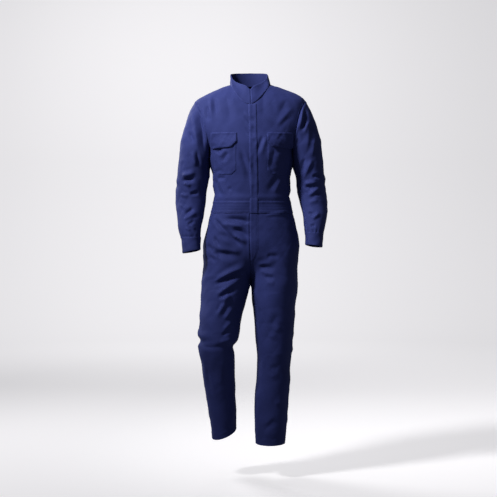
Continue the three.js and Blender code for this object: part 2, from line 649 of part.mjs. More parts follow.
const NAVY = new THREE.Color(0.035, 0.045, 0.16);
const SHADE = new THREE.Color(0.03, 0.038, 0.14);
const cloth = (color) => new THREE.MeshStandardMaterial({ color, roughness: 0.72, metalness: 0 });

const suit = new THREE.Group();
function sew(name, geometry, color = NAVY) {
  const mesh = new THREE.Mesh(geometry, cloth(color));
  mesh.name = name;
  suit.add(mesh);
}

sew("bodice_back", bodiceBack());
sew("waistband", waistband(), SHADE);
sew("collar", collar(), SHADE);
sew("placket", placket());
sew("fly", fly());
for (const side of ["left", "right"]) {
  sew(`bodice_front_${side}`, bodiceFront(side));
  sew(`sleeve_upper_${side}`, sleeve(side, "upper"));
  sew(`sleeve_under_${side}`, sleeve(side, "under"));
  sew(`cuff_${side}`, cuff(side), SHADE);
  sew(`chest_pocket_${side}`, pocket(side));
  sew(`pocket_flap_${side}`, flap(side));
}
for (const face of ["front", "back"]) {
  sew(`trouser_${face}_left`, trouserPanel("left", face));
  sew(`trouser_${face}_right_upper`, trouserPanel("right", face, "upper"));
  sew(`trouser_${face}_right_lower`, trouserPanel("right", face, "lower"));
}

export default suit;
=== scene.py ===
import math
import bpy
import numpy as np
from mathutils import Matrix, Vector


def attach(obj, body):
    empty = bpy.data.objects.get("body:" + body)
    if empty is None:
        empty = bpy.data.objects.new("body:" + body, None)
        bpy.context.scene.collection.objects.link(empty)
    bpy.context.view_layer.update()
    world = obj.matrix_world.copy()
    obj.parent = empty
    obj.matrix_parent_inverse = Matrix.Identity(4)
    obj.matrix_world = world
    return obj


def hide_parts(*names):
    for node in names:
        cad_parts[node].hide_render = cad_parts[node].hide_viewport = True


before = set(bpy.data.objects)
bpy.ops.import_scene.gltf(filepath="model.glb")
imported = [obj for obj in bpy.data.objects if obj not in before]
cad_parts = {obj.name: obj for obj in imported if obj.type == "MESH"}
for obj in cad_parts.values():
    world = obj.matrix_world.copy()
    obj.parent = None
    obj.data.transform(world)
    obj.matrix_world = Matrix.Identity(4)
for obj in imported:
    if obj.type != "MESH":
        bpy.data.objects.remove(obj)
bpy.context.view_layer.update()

# The boiler suit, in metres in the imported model's frame: +Z up, the front faces -Y, the wearer's left is +X.
# Forms are worked out in millimetres, as in the part's own source. "down" is the distance below the origin.


# Camera: a long lens level with the waistband, 5 m in front of the suit and a little to the wearer's right,
# which looks slightly down.
camera_data = bpy.data.cameras.new("camera")
camera_data.lens = 88.3
camera_data.sensor_width = 36
camera_data.clip_end = 60
camera = bpy.data.objects.new("camera", camera_data)
bpy.context.scene.collection.objects.link(camera)
camera.location = (-0.010, -5.0, -0.530)
camera.rotation_euler = (Vector((-0.010, 0, -0.670)) - camera.location).to_track_quat("-Z", "Y").to_euler()
bpy.context.scene.camera = camera


# Studio: a soft key lamp from the upper left of the view, an edge lamp, two lamps on the paper behind, and
# weak light all round. The paper is a pale floor that curves up into a wall on every side. It shows behind
# the suit from any angle, and is left out of what lights the cloth.
def area_light(name, place, target, size, power, spread=180.0, colour=(1, 1, 1)):
    data = bpy.data.lights.new(name, "AREA")
    data.shape = "DISK"
    data.size = size
    data.energy = power
    data.spread = math.radians(spread)
    data.color = colour
    lamp = bpy.data.objects.new(name, data)
    lamp.location = place
    lamp.rotation_euler = (Vector(target) - Vector(place)).to_track_quat("-Z", "Y").to_euler()
    lamp.visible_camera = False
    bpy.context.scene.collection.objects.link(lamp)

area_light("key", (-2.3, -1.7, 2.05), (-0.03, -0.05, 0.04), 0.65, 15.6, spread=45)
area_light("edge", (-1.5, 1.2, 0.6), (0.0, 0.0, -0.5), 1.0, 33)
area_light("backdrop", (-0.6, 4.0, 1.8), (-0.2, 7.2, -0.9), 1.3, 46, spread=145)
area_light("behind", (0.1, 3.3, 2.7), (0.0, 3.0, -1.6), 1.6, 11, spread=130)

scene = bpy.context.scene
scene.view_settings.view_transform = "Standard"
world = bpy.data.worlds.new("studio")
world.use_nodes = True
world.node_tree.nodes["Background"].inputs["Color"].default_value = (0.93, 0.95, 1.0, 1)
world.node_tree.nodes["Background"].inputs["Strength"].default_value = 0.16
scene.world = world

FLOOR, FLOOR_REACH, FLOOR_CURVE, WALL_TOP = -1.615, 5.6, 1.6, 6.0
TURNS = 60
profile = [(0.0, FLOOR), (2.5, FLOOR), (FLOOR_REACH, FLOOR)]
for degrees in range(9, 91, 9):
    bend = math.radians(degrees)
    profile.append((FLOOR_REACH + FLOOR_CURVE * math.sin(bend), FLOOR + FLOOR_CURVE * (1 - math.cos(bend))))
profile.append((FLOOR_REACH + FLOOR_CURVE, WALL_TOP))
turns = [2 * math.pi * n / TURNS for n in range(TURNS)]
backdrop_mesh = bpy.data.meshes.new("backdrop")
backdrop_mesh.from_pydata(
    [(r * math.sin(t), r * math.cos(t), z) for r, z in profile for t in turns], [],
    [(k * TURNS + n, k * TURNS + (n + 1) % TURNS, (k + 1) * TURNS + (n + 1) % TURNS, (k + 1) * TURNS + n)
     for k in range(len(profile) - 1) for n in range(TURNS)])
backdrop_mesh.polygons.foreach_set("use_smooth", [True] * len(backdrop_mesh.polygons))
backdrop = bpy.data.objects.new("backdrop", backdrop_mesh)
bpy.context.scene.collection.objects.link(backdrop)
backdrop.visible_diffuse = backdrop.visible_glossy = backdrop.visible_shadow = False
paper = bpy.data.materials.new("backdrop_paper")
paper.use_nodes = True
shader = paper.node_tree.nodes["Principled BSDF"]
shader.inputs["Base Color"].default_value = (0.62, 0.61, 0.62, 1)
shader.inputs["Roughness"].default_value = 0.9
shader.inputs["Specular IOR Level"].default_value = 0.1
shader.inputs["Emission Color"].default_value = (0.99, 0.975, 1.0, 1)
shader.inputs["Emission Strength"].default_value = 0.50
backdrop_mesh.materials.append(paper)


# Bodice: two fronts and a back in navy polyester and cotton twill of about 245 g per square metre, joined
# at the shoulders, sides and armholes with felled seams. The panels hang from the shoulders over the chest,
# and their lower edges are tucked under the waistband.
THICK = 0.9
SHOULDER_TIP, UNDERARM, WAIST_SEAM = 64, 262, 476
NECK_DROP, NECK_RIGHT, NECK_LEFT = 83, 83.4, 77.4
NECK_CURVE = {"left": 1.5, "right": 2.2}
AROUND = 120
SIGN = {"left": 1, "right": -1}

def smoothly(value, low, high):
    share = np.clip((np.asarray(value, float) - low) / (high - low), 0, 1)
    return share * share * (3 - 2 * share)

def table(names, text):
    """Rows of a table down the garment, joined by smooth curves and carried on straight past its ends."""
    rows = np.array([[float(word) for word in line.split()] for line in text.strip().splitlines()])
    downs, values = rows[:, 0], rows[:, 1:]
    above = np.maximum(np.arange(len(rows)) - 1, 0)
    below = np.minimum(np.arange(len(rows)) + 1, len(rows) - 1)
    slopes = (values[below] - values[above]) / (downs[below] - downs[above])[:, None]

    def at(down):
        down = np.asarray(down, float)
        inside = np.clip(down, downs[0], downs[-1])
        i = np.clip(np.searchsorted(downs, inside, side="left") - 1, 0, len(downs) - 2)
        span = (downs[i + 1] - downs[i])[..., None]
        t = (inside - downs[i])[..., None] / span
        rise = values[i + 1] - values[i]
        start, end = slopes[i] * span, slopes[i + 1] * span
        made = values[i] + t * (start + t * (3 * rise - 2 * start - end + t * (start + end - 2 * rise)))
        past = (down - inside)[..., None]
        made = made + past * np.where(past < 0, slopes[0], slopes[-1])
        return dict(zip(names.split(), np.moveaxis(made, -1, 0)))
    return at

body_at = table("right left front back middle square", """
    0    84 78 46 52 4 2.0
    6    100 98 52 60 4 2.0
    12   115 118 58 67 4 2.0
    29   153 163 68 82 4 2.05
    45   190 197 77 92 4 2.1
    64   222 219 86 100 4 2.15
    90   231 226 97 108 4 2.2
    120  229 225 107 114 4 2.25
    160  220 217 118 119 3 2.3
    205  203 202 126 120 2 2.35
    240  184 184 129 116 0 2.35
    262  171 171 129 112 0 2.35
    300  168 169 127 105 0 2.35
    332  164.5 167.5 124 99 0 2.35
    381  156 163 119 92 0 2.3
    440  152 160 113 87 0 2.3
    480  156 164 111 89 0 2.3
    529  165 172 111 99 0 2.3
    578  178 184 112 113 0 2.35
    627  189 195 112 127 0 2.4
    676  195 196 111 134 0 2.4
    740  196 194 110 136 0 2.4
    800  200 191 108 132 0 2.4""")
armhole_at = table("front back", """
    64   1.0 1.0
    90   0.93 0.95
    120  0.885 0.91
    160  0.865 0.89
    205  0.885 0.905
    240  0.94 0.95
    262  1.0 1.0""")
opening_at = table("x", """
    60   -3
    300  1
    500  3
    540  -5
    700  -3
    803  0""")

def point(x, y, down):
    return np.stack(np.broadcast_arrays(x, y, -np.asarray(down, float)), -1)

def mixed(a, b, share):
    return a + (b - a) * share

def body_point(angle, down):
    """A point on the body's round: angle is 0 at the front, 90 at the wearer's left and -90 at the right."""
    row = body_at(down)
    turn = np.radians(angle)
    sine, cosine = np.sin(turn), np.cos(turn)
    power = 2 / row["square"]
    reach = np.where(sine > 0, row["left"], row["right"])
    depth = np.where(cosine > 0, -row["front"], row["back"])
    return point(np.sign(sine) * reach * np.abs(sine) ** power,
                 row["middle"] + depth * np.abs(cosine) ** power, down)

def body_angle(x, down):
    row = body_at(down)
    share = np.clip(np.abs(x) / np.where(x > 0, row["left"], row["right"]), 0, 1)
    return np.sign(x) * np.degrees(np.arcsin(share ** (row["square"] / 2)))

def armhole_angle(side, face, down):
    x = armhole_at(down)[face] * body_at(down)[side] * SIGN[side]
    inside = (down > SHOULDER_TIP + 0.01) & (down < UNDERARM - 0.01)
    return np.where(inside, body_angle(x, down), 90.0 * SIGN[side])

def armhole_down(turn):
    return UNDERARM + (SHOULDER_TIP - UNDERARM) * (1 - np.cos(2 * np.pi * turn)) / 2

def neckline_down(x):
    half = np.where(x > 0, NECK_LEFT, NECK_RIGHT)
    curve = np.where(x > 0, NECK_CURVE["left"], NECK_CURVE["right"])
    return NECK_DROP * (1 - np.clip(np.abs(x) / half, 0, 1) ** curve)


# Folds, read from the photograph and placed one by one: soft ridges (height above 0) and troughs (below
# 0). A row is the face where the fold is seen, three points that it runs through (x, or y on a side, then
# down), its half width and its height.
def folds(text):
    made = []
    for line in text.strip().splitlines():
        words = line.split()
        made.append((words[0], *[float(word) for word in words[1:]]))
    return made

SUIT_FOLDS = folds("""
    front -127 545 -33 554 -14 570 8.8 -6.8
    front -123 570 -70 574 -16 582 10 5.9
    front -148 541 -111 590 -29 656 7.5 -7.8
    front -131 603 -78 631 -29 662 8.8 -7.8
    front -78 590 -37 599 -8 631 7.5 -5.9
    front -82 611 -45 627 -12 648 8.8 7.8
    front -152 668 -86 676 -29 681 11.2 7.8
    front -144 697 -115 685 -29 701 15 -9.8
    front -152 619 -139 640 -123 664 6.2 -5.9
    front -180 652 -164 668 -152 681 8.8 -5.9
    front -172 701 -156 709 -144 726 7.5 -4.9
    front -152 804 -78 763 -8 734 10.3 9
    front -148 816 -98 789 -8 748 8 -9
    front -144 861 -90 820 -29 783 9.2 7.1
    front -135 867 -90 843 -61 824 8 -7.1
    front -127 886 -102 865 -82 849 9.2 5.4
    front 61 701 86 697 119 701 8 -3.9
    front 25 734 61 726 102 722 9.6 3.1
    front 29 744 61 742 102 748 7.2 -3.8
    front 33 758 66 767 107 775 8.4 3.1
    front 53 783 74 783 98 787 7.2 -3.1
    front 61 804 78 806 98 808 8.4 2.5
    front 6 816 29 881 45 955 9 3.1
    front 49 535 98 529 144 527 6 2.8
    front -141 955 -111 890 -82 849 10.3 7.1
    front -139 927 -123 894 -107 869 6.9 -5.4
    front -107 955 -90 927 -70 902 8 5.4
    front -111 996 -94 976 -78 963 7 4.7
    front -127 1043 -102 1037 -78 1029 9.6 3.7
    front -119 1017 -98 1004 -78 992 6 -4.7
    front -205 1058 -152 1064 -90 1052 8.4 -3.7
    front -178 1144 -172 1210 -158 1275 7.2 -3.8
    front -193 1095 -184 1160 -172 1230 9.6 3.1
    front -102 1095 -119 1177 -123 1271 14.4 2.5
    front 78 984 94 955 115 931 11.2 -2.4
    front 94 1004 107 992 123 976 11.2 2.4
    front 70 1029 90 1021 107 1013 11.2 1.9
    front 74 1193 98 1181 119 1173 12.8 2.4
    front 74 1156 94 1152 115 1156 9.6 -1.9
    front 94 1304 111 1298 127 1296 12.8 2.7
    front 57 1390 78 1365 102 1345 12.8 3.1
    front 49 1414 78 1386 102 1361 9.6 -2.7
    front 45 1431 78 1425 115 1419 12.8 1.6
    front -180 86 -176 123 -174 160 8 -5
    front -152 45 -146 90 -144 144 9 -3.8
    front -164 57 -162 102 -160 152 8 3.8
    front -49 262 -20 340 0 418 9 -3.8
    front -33 258 -8 328 8 398 8 2.5
    front -148 381 -135 426 -119 463 8 -4.4
    front -131 377 -115 422 -98 459 8 3.1
    front 172 94 135 135 97 182 10.8 2.8
    front 144 66 131 94 115 127 9.6 -2.2
    front 156 135 131 162 102 193 8.4 -1.9
    front 66 213 49 258 32 303 8 3.1
    front 49 209 35 254 20 299 7 -3.1
    front 115 369 90 406 70 443 9.2 -2.7
    front 131 381 107 418 86 455 9.2 2.2
    front 98 258 86 308 78 357 9 -3.1
    front -139 285 -129 275 -119 266 8 -3.8
    front -115 320 -102 299 -90 279 8 -3.8
    front -127 303 -111 285 -94 266 7 3.1
    front -144 360 -131 355 -115 348 6 -3.1
    front -139 387 -119 384 -98 385 6 -3.1
    front -94 430 -86 428 -74 430 6 -2.5
    front -29 115 -12 131 12 148 5 2
    front -29 135 -12 150 12 168 5 -2.2
    front -25 156 -8 172 16 189 5 2
    front -25 180 -8 197 16 213 5 -2.2
    front -20 205 -4 221 20 238 5 1.8
    front -102 45 -90 102 -82 168 12 -2.5
    front 45 37 49 94 45 152 12 -2.2
    back 172 100 120 190 95 290 12 3.5
    back -168 110 -122 196 -88 300 12 3.2
    back 186 120 170 190 160 250 10 -4
    back -188 118 -172 188 -162 252 10 -4
    back 20 120 8 260 14 400 16 -2.5
    back -40 200 -30 300 -46 410 14 2
    back 120 405 40 420 -40 412 12 4
    back -130 430 -60 440 20 432 11 4
    back 140 446 80 455 10 448 9 -4
    back -20 398 -80 392 -130 380 12 -3
    back 60 378 110 366 150 350 12 3
    back 160 300 120 340 70 372 12 -3
    back -158 310 -118 348 -60 380 12 -3
    back 150 270 110 300 60 322 11 2.6
    back -150 262 -100 300 -50 316 11 2.6
    left -60 300 0 330 60 350 12 2.4
    left -70 350 -10 380 50 395 11 -2.4
    left -60 420 0 432 60 428 11 2.8
    left -40 452 10 458 60 452 8 -2.1
    right -64 292 -6 322 56 346 12 2.2
    right -66 342 -10 366 50 384 11 -2.4
    right -60 404 0 418 58 424 11 2.8
    right -44 444 8 452 56 448 8 -2.1
    left -70 560 0 590 60 640 14 -1.5
    left -60 640 0 660 60 690 14 1.5
    left -80 720 -10 740 60 780 14 -1.5
    right -74 548 -4 580 60 622 13 -1.5
    right -64 628 0 652 60 676 14 1.5
    right -76 700 -8 730 62 752 13 -1.5
    right -70 790 0 812 60 846 14 1.5
    left -50 930 10 950 60 990 13 1.5
    left -60 1020 0 1046 60 1050 12 -2
    left -30 1090 20 1080 60 1066 11 1.8
    left -50 1250 10 1230 60 1200 12 -1.2
    left -40 1390 10 1376 60 1350 12 1.5
    right -90 1030 -30 1046 30 1058 10 -1.8
    right -80 1062 -20 1070 40 1072 9 1.5
    right -60 1000 0 1012 50 1026 10 2
    right -40 1120 20 1100 60 1080 10 -1.8
    right -60 960 0 975 50 1000 12 -1.5
    right -30 1240 20 1220 70 1190 12 1.2
    right -10 1390 30 1376 80 1352 11 -1.2
    back -120 742 -60 716 -14 700 16 -4
    back 120 745 60 718 14 702 16 -4
    back -140 846 -90 824 -40 812 15 -4
    back 136 846 86 826 36 812 15 -4
    back -150 880 -100 866 -46 850 11 3.5
    back 150 884 100 868 44 852 11 3.5
    back -120 800 -80 780 -20 772 10 3
    back 118 802 78 784 22 774 10 3
    back 150 570 90 600 40 650 14 2.5
    back -150 566 -92 602 -38 656 14 2.5
    back 30 1040 70 1052 120 1046 12 -5
    back 36 1068 80 1078 130 1070 11 4.5
    back 40 1014 80 1022 130 1012 11 3.5
    back 50 1100 90 1096 130 1106 11 -3
    back -200 1030 -130 1040 -70 1048 14 -7
    back -205 1075 -140 1068 -80 1062 13 5
    back -190 1000 -140 1004 -90 1010 11 4
    back -185 1100 -140 1104 -84 1096 10 -4
    back -180 1128 -130 1136 -90 1128 11 3
    back 60 1200 90 1250 110 1300 14 2.5
    back -150 1230 -120 1290 -110 1350 14 2.5
    back 30 1420 70 1410 120 1424 10 3
    back -140 1400 -110 1392 -70 1400 10 3
    back 40 1380 80 1366 120 1372 10 -2.5""")
def fold_height(places, normals, strokes):
    x, y, down = places[..., 0], places[..., 1], -places[..., 2]
    views = {"front": (x, -normals[..., 1], True), "back": (x, normals[..., 1], True),
             "left": (y, normals[..., 0], x > -5), "right": (y, -normals[..., 0], x < 5)}
    height = np.zeros(x.shape)
    steps = np.linspace(0, 1, 9)
    for face, x1, down1, x2, down2, x3, down3, wide, high in strokes:
        across, outwards, this_side = views[face]
        bend_x, bend_down = 2 * x2 - (x1 + x3) / 2, 2 * down2 - (down1 + down3) / 2
        line = np.stack([
            (1 - steps) ** 2 * x1 + 2 * steps * (1 - steps) * bend_x + steps ** 2 * x3,
            (1 - steps) ** 2 * down1 + 2 * steps * (1 - steps) * bend_down + steps ** 2 * down3], -1)
        low, top = line.min(0) - 3.4 * wide, line.max(0) + 3.4 * wide
        near = (across > low[0]) & (across < top[0]) & (down > low[1]) & (down < top[1])
        near = near & (outwards > 0) & this_side
        if not near.any():
            continue
        here = np.stack([across[near], down[near]], -1)
        best, along = np.full(len(here), 1e9), np.zeros(len(here))
        for k in range(8):
            run = line[k + 1] - line[k]
            t = np.clip((here - line[k]) @ run / (run @ run + 1e-9), 0, 1)
            away = ((here - line[k] - t[:, None] * run) ** 2).sum(-1)
            closer = away < best
            best = np.where(closer, away, best)
            along = np.where(closer, (k + t) / 8, along)
        share = np.sqrt(best) / (wide * (0.85 + 0.5 * along))
        fade = smoothly(outwards[near], 0.02, 0.5) * smoothly(along, 0, 0.3) * smoothly(1 - along, 0, 0.35)
        crest = np.exp(-share ** 2 / (0.42 + 0.62 * share))
        height[near] += high * fade * (crest - 0.2 * np.exp(-((share - 1.9) / 0.8) ** 2))
    return height

def waves(places, seed, count, shortest, longest, high, lean=(1, 1, 1)):
    """Gentle unevenness all over the cloth, the same on both sides of a seam."""
    random = np.random.default_rng(seed)
    height = np.zeros(places.shape[:-1])
    for _ in range(count):
        direction = random.normal(size=3) * lean
        direction /= np.linalg.norm(direction)
        length = random.uniform(shortest, longest)
        height += np.sin(places @ direction * (2 * np.pi / length) + random.uniform(0, 6.28))
    return high * height / math.sqrt(count / 2)

def creases(places, seed, count, shortest, longest, high):
    """Fine sharp creases in patches, where the cloth has been crushed and let go again."""
    random = np.random.default_rng(seed)
    bent = places + 9 * np.stack([waves(places, seed + k, 3, 120, 260, 1.0) for k in range(3)], -1)
    height = np.zeros(places.shape[:-1])
    for _ in range(count):
        direction, across = random.normal(size=(2, 3))
        direction /= np.linalg.norm(direction)
        across /= np.linalg.norm(across)
        phase = bent @ direction * (2 * np.pi / random.uniform(shortest, longest)) + random.uniform(0, 6.28)
        patch = np.sin(places @ across * (2 * np.pi / random.uniform(150, 340)) + random.uniform(0, 6.28))
        height += random.choice([-1, 1]) * (1 - np.abs(np.sin(phase))) ** 2 * smoothly(patch, 0.1, 0.9)
    return high * height

def normals_of(skin, a, b, step_a, step_b, sign):
    across = skin(a + step_a, b) - skin(a - step_a, b)
    along = skin(a, b + step_b) - skin(a, b - step_b)
    turned = np.cross(across, along) * sign
    return turned / np.linalg.norm(turned, axis=-1, keepdims=True)

def edge_distance(grid, which):
    """How far each point of a grid lies from one of its edges, along the cloth."""
    if which in ("first", "last"):
        steps = np.linalg.norm(np.diff(grid, axis=1), axis=-1)
        run = np.concatenate([np.zeros((len(grid), 1)), np.cumsum(steps, 1)], 1)
        return run if which == "first" else run[:, -1:] - run
    steps = np.linalg.norm(np.diff(grid, axis=0), axis=-1)
    run = np.concatenate([np.zeros((1, grid.shape[1])), np.cumsum(steps, 0)], 0)
    return run if which == "top" else run[-1:] - run

def seam_relief(distance, high=0.8):
    """The dip of a sewn seam, and the soft swell of the turned-in cloth beside it."""
    return high * (-0.9 * np.exp(-(distance / 1.7) ** 2) + 0.75 * np.exp(-((distance - 5.5) / 3.6) ** 2))

def puckers(places, distance, seed, high=0.35):
    """Small uneven gathers that the thread pulls into the cloth along a seam."""
    random = np.random.default_rng(seed)
    along = places[..., 2] + 0.6 * places[..., 0]
    phase = sum(np.sin(along / length + random.uniform(0, 6.28)) for length in (31, 47, 83))
    return high * np.sin(along * (2 * np.pi / 13.0) + 1.6 * phase) * np.exp(-((distance - 3) / 7.0) ** 2)

def fine_at_ends(count, extra=(0.28, 0.6, 1.5)):
    inner = np.array(extra) / count
    return np.unique(np.round(np.concatenate([np.linspace(0, 1, count + 1), inner, 1 - inner]), 6))

def cloth_material(name, base, sheen, roughness, wale=0.00062, bump=0.35):
    """Twill: fine diagonal wales, yarns of uneven colour and a soft nap, paler where it is rubbed."""
    made = bpy.data.materials.new(name)
    made.use_nodes = True
    nodes, links = made.node_tree.nodes, made.node_tree.links
    cloth = nodes["Principled BSDF"]
    cloth.inputs["Roughness"].default_value = roughness
    cloth.inputs["Specular IOR Level"].default_value = 0.20
    cloth.inputs["Specular Tint"].default_value = (0.42, 0.50, 1.0, 1)
    cloth.inputs["Sheen Weight"].default_value = sheen
    cloth.inputs["Sheen Roughness"].default_value = 0.42
    cloth.inputs["Sheen Tint"].default_value = (0.34, 0.42, 1.0, 1)

    def node(kind, **settings):
        one = nodes.new(kind)
        for key, value in settings.items():
            if key in one.inputs:
                one.inputs[key].default_value = value
            else:
                setattr(one, key, value)
        return one

    place = node("ShaderNodeTexCoord")
    weave = node("ShaderNodeUVMap", uv_map="weave")
    patches = node("ShaderNodeTexNoise", Scale=7.0, Detail=3.0, Roughness=0.55)
    links.new(place.outputs["Object"], patches.inputs["Vector"])
    yarns = node("ShaderNodeTexNoise", Scale=420.0, Detail=2.0)
    links.new(weave.outputs["UV"], yarns.inputs["Vector"])
    slant = node("ShaderNodeMapping")
    slant.inputs["Rotation"].default_value = (0, 0, math.radians(-58))
    links.new(weave.outputs["UV"], slant.inputs["Vector"])
    wales = node("ShaderNodeTexWave", Scale=0.314 / wale, Distortion=0.6, Detail=1.0)
    wales.inputs["Detail Scale"].default_value = 2.0
    links.new(slant.outputs["Vector"], wales.inputs["Vector"])

    tone = node("ShaderNodeValToRGB")
    tone.color_ramp.elements[0].position, tone.color_ramp.elements[1].position = 0.3, 0.72
    tone.color_ramp.elements[0].color = (*[c * 0.86 for c in base], 1)
    tone.color_ramp.elements[1].color = (*[c * 1.12 for c in base], 1)
    links.new(patches.outputs["Fac"], tone.inputs["Fac"])
    thread = node("ShaderNodeMix", data_type="RGBA", blend_type="MULTIPLY")
    thread.inputs[0].default_value = 0.45
    links.new(tone.outputs["Color"], thread.inputs[6])
    links.new(yarns.outputs["Fac"], thread.inputs[7])
    worn = node("ShaderNodeMix", data_type="RGBA")
    worn.inputs[7].default_value = (*[min(1, c * 1.5 + 0.012) for c in base], 1)
    links.new(thread.outputs[2], worn.inputs[6])
    rubbed = node("ShaderNodeAttribute", attribute_name="wear")
    scuff = node("ShaderNodeTexNoise", Scale=90.0, Detail=3.0)
    links.new(place.outputs["Object"], scuff.inputs["Vector"])
    much = node("ShaderNodeMath", operation="MULTIPLY")
    links.new(rubbed.outputs["Fac"], much.inputs[0])
    links.new(scuff.outputs["Fac"], much.inputs[1])
    links.new(much.outputs["Value"], worn.inputs[0])
    links.new(worn.outputs[2], cloth.inputs["Base Color"])

    fine = node("ShaderNodeBump", Strength=bump, Distance=0.00012)
    links.new(wales.outputs["Fac"], fine.inputs["Height"])
    crinkle = node("ShaderNodeTexNoise", Scale=52.0, Detail=4.0, Roughness=0.6)
    links.new(place.outputs["Object"], crinkle.inputs["Vector"])
    soft = node("ShaderNodeBump", Strength=0.32, Distance=0.0014)
    links.new(crinkle.outputs["Fac"], soft.inputs["Height"])
    links.new(fine.outputs["Normal"], soft.inputs["Normal"])
    links.new(soft.outputs["Normal"], cloth.inputs["Normal"])
    return made

BODY_CLOTH = cloth_material("navy_twill", (0.0298, 0.0392, 0.160), 0.05, 0.72)

def shell(name, outer, inner, material, round_=False, wear=None):
    """A thin closed wall of cloth between an outer and an inner grid of points, in millimetres."""
    rows, columns = outer.shape[:2]
    wide = columns if round_ else columns - 1
    closed = np.concatenate([outer, outer[:, :1]], 1) if round_ else outer
    u = edge_distance(closed, "first") / 1000
    v = np.broadcast_to(edge_distance(closed, "top").mean(1, keepdims=True) / 1000, u.shape)
    j, i = np.meshgrid(np.arange(rows - 1), np.arange(wide), indexing="ij")
    j, i = j.ravel(), i.ravel()
    cells = np.stack([np.stack([j, i], -1), np.stack([j + 1, i], -1),
                      np.stack([j + 1, i + 1], -1), np.stack([j, i + 1], -1)], 1)
    count = rows * columns

    def corner(cell, layer):
        return layer * count + cell[..., 0] * columns + cell[..., 1] % columns

    quads = [corner(cells, 0), corner(cells[:, ::-1], 1)]
    flat = [cells, cells[:, ::-1]]

    def rim(cell_a, cell_b):
        quads.append(np.stack([corner(cell_a, 0), corner(cell_b, 0),
                               corner(cell_b, 1), corner(cell_a, 1)], 1))
        flat.append(np.stack([cell_a, cell_b, cell_b, cell_a], 1))

    across = np.arange(wide)
    for row, first, second in ((0, 0, 1), (rows - 1, 1, 0)):
        edge = np.full(wide, row)
        rim(np.stack([edge, across + first], -1), np.stack([edge, across + second], -1))
    if not round_:
        down = np.arange(rows - 1)
        for column, first, second in ((0, 1, 0), (columns - 1, 0, 1)):
            rim(np.stack([down + first, np.full(rows - 1, column)], -1),
                np.stack([down + second, np.full(rows - 1, column)], -1))
    quads, flat = np.concatenate(quads), np.concatenate(flat)
    points = np.concatenate([outer.reshape(-1, 3), inner.reshape(-1, 3)]) / 1000
    a, b, c, d = (points[quads[:, k]] for k in range(4))
    volume = (a * np.cross(b, c)).sum() + (a * np.cross(c, d)).sum()
    if volume < 0:
        quads, flat = quads[:, ::-1], flat[:, ::-1]
    mesh = bpy.data.meshes.new(name)
    mesh.from_pydata(points.tolist(), [], quads.tolist())
    layer = mesh.uv_layers.new(name="weave")
    uv = np.stack([u[flat[..., 0], flat[..., 1]], v[flat[..., 0], flat[..., 1]]], -1)
    layer.data.foreach_set("uv", uv.astype(np.float32).ravel())
    rubbed = mesh.attributes.new("wear", "FLOAT", "POINT")
    if wear is not None:
        rubbed.data.foreach_set("value", np.concatenate([wear.ravel(), wear.ravel() * 0]).astype(np.float32))
    mesh.polygons.foreach_set("use_smooth", np.ones(len(quads), bool))
    mesh.set_sharp_from_angle(angle=math.radians(55))
    mesh.materials.append(material)
    made = bpy.data.objects.new(name, mesh)
    bpy.context.scene.collection.objects.link(made)
    return made

def worn_at(*distances, reach=3.0):
    """Where edges rub pale: most at the edge itself."""
    rubbed = np.zeros(distances[0].shape)
    for distance in distances:
        rubbed = np.maximum(rubbed, np.exp(-(distance / reach) ** 2))
    return rubbed

def sewn(piece, node):
    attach(piece, "root")
    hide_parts(*[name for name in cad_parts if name.startswith(node)])


SHOULDER_ROWS = np.array([0.2, 2, 4, 6, 9, 12, 16, 20, 24.5, 29, 33.5, 38, 43, 48, 53, 57, 60, 62.2])
ARMHOLE_ROWS = armhole_down(np.linspace(0.5, 0, AROUND // 2 + 1))
WAIST_ROWS = np.concatenate([[262.6, 263.6, 265.2, 267.5], np.linspace(271, 470, 56), [472, 474, 476, 478]])
BODICE_ROWS = np.concatenate([SHOULDER_ROWS, ARMHOLE_ROWS, WAIST_ROWS])

def body_normal(angle, down):
    return normals_of(body_point, angle, down, 0.5, 1.0, -1)

def drape(places, normals, extra=0.0, strokes=None, calm=1.0, crush=0.6, deep=1.1):
    """Moves cloth out from its smooth skin by its folds, its unevenness and whatever else lifts it."""
    height = deep * fold_height(places, normals, SUIT_FOLDS if strokes is None else strokes)
    height = height + calm * waves(places, 11, 16, 34, 120, 0.4) + waves(places, 12, 10, 90, 260, 0.9)
    height = height + calm * crush * creases(places, 14, 9, 90, 190, 0.9)
    return places + normals * (height + extra)[..., None]

panels = {}

def bodice_grid(angle_from, angle_to, across):
    down = np.broadcast_to(BODICE_ROWS[:, None], (len(BODICE_ROWS), len(across)))
    angle = angle_from[:, None] + (angle_to - angle_from)[:, None] * across[None]
    return angle, down

for side, sign in SIGN.items():
    opening = opening_at(BODICE_ROWS)["x"]
    half = NECK_LEFT if side == "left" else NECK_RIGHT
    neckline = sign * half * np.maximum(0, 1 - BODICE_ROWS / NECK_DROP) ** (1 / NECK_CURVE[side])
    inner_x = np.where(BODICE_ROWS < NECK_DROP, neckline, opening + sign * 0.15)
    start = sign * np.maximum(*[sign * body_angle(x, BODICE_ROWS) for x in (inner_x, opening)])
    angle, down = bodice_grid(start, armhole_angle(side, "front", BODICE_ROWS), fine_at_ends(64))
    panels[f"bodice_front_{side}"] = (angle, down)
left_edge = armhole_angle("left", "back", BODICE_ROWS)
right_edge = -armhole_angle("right", "back", BODICE_ROWS)
panels["bodice_back"] = bodice_grid(180 - left_edge, 180 + right_edge, fine_at_ends(112))

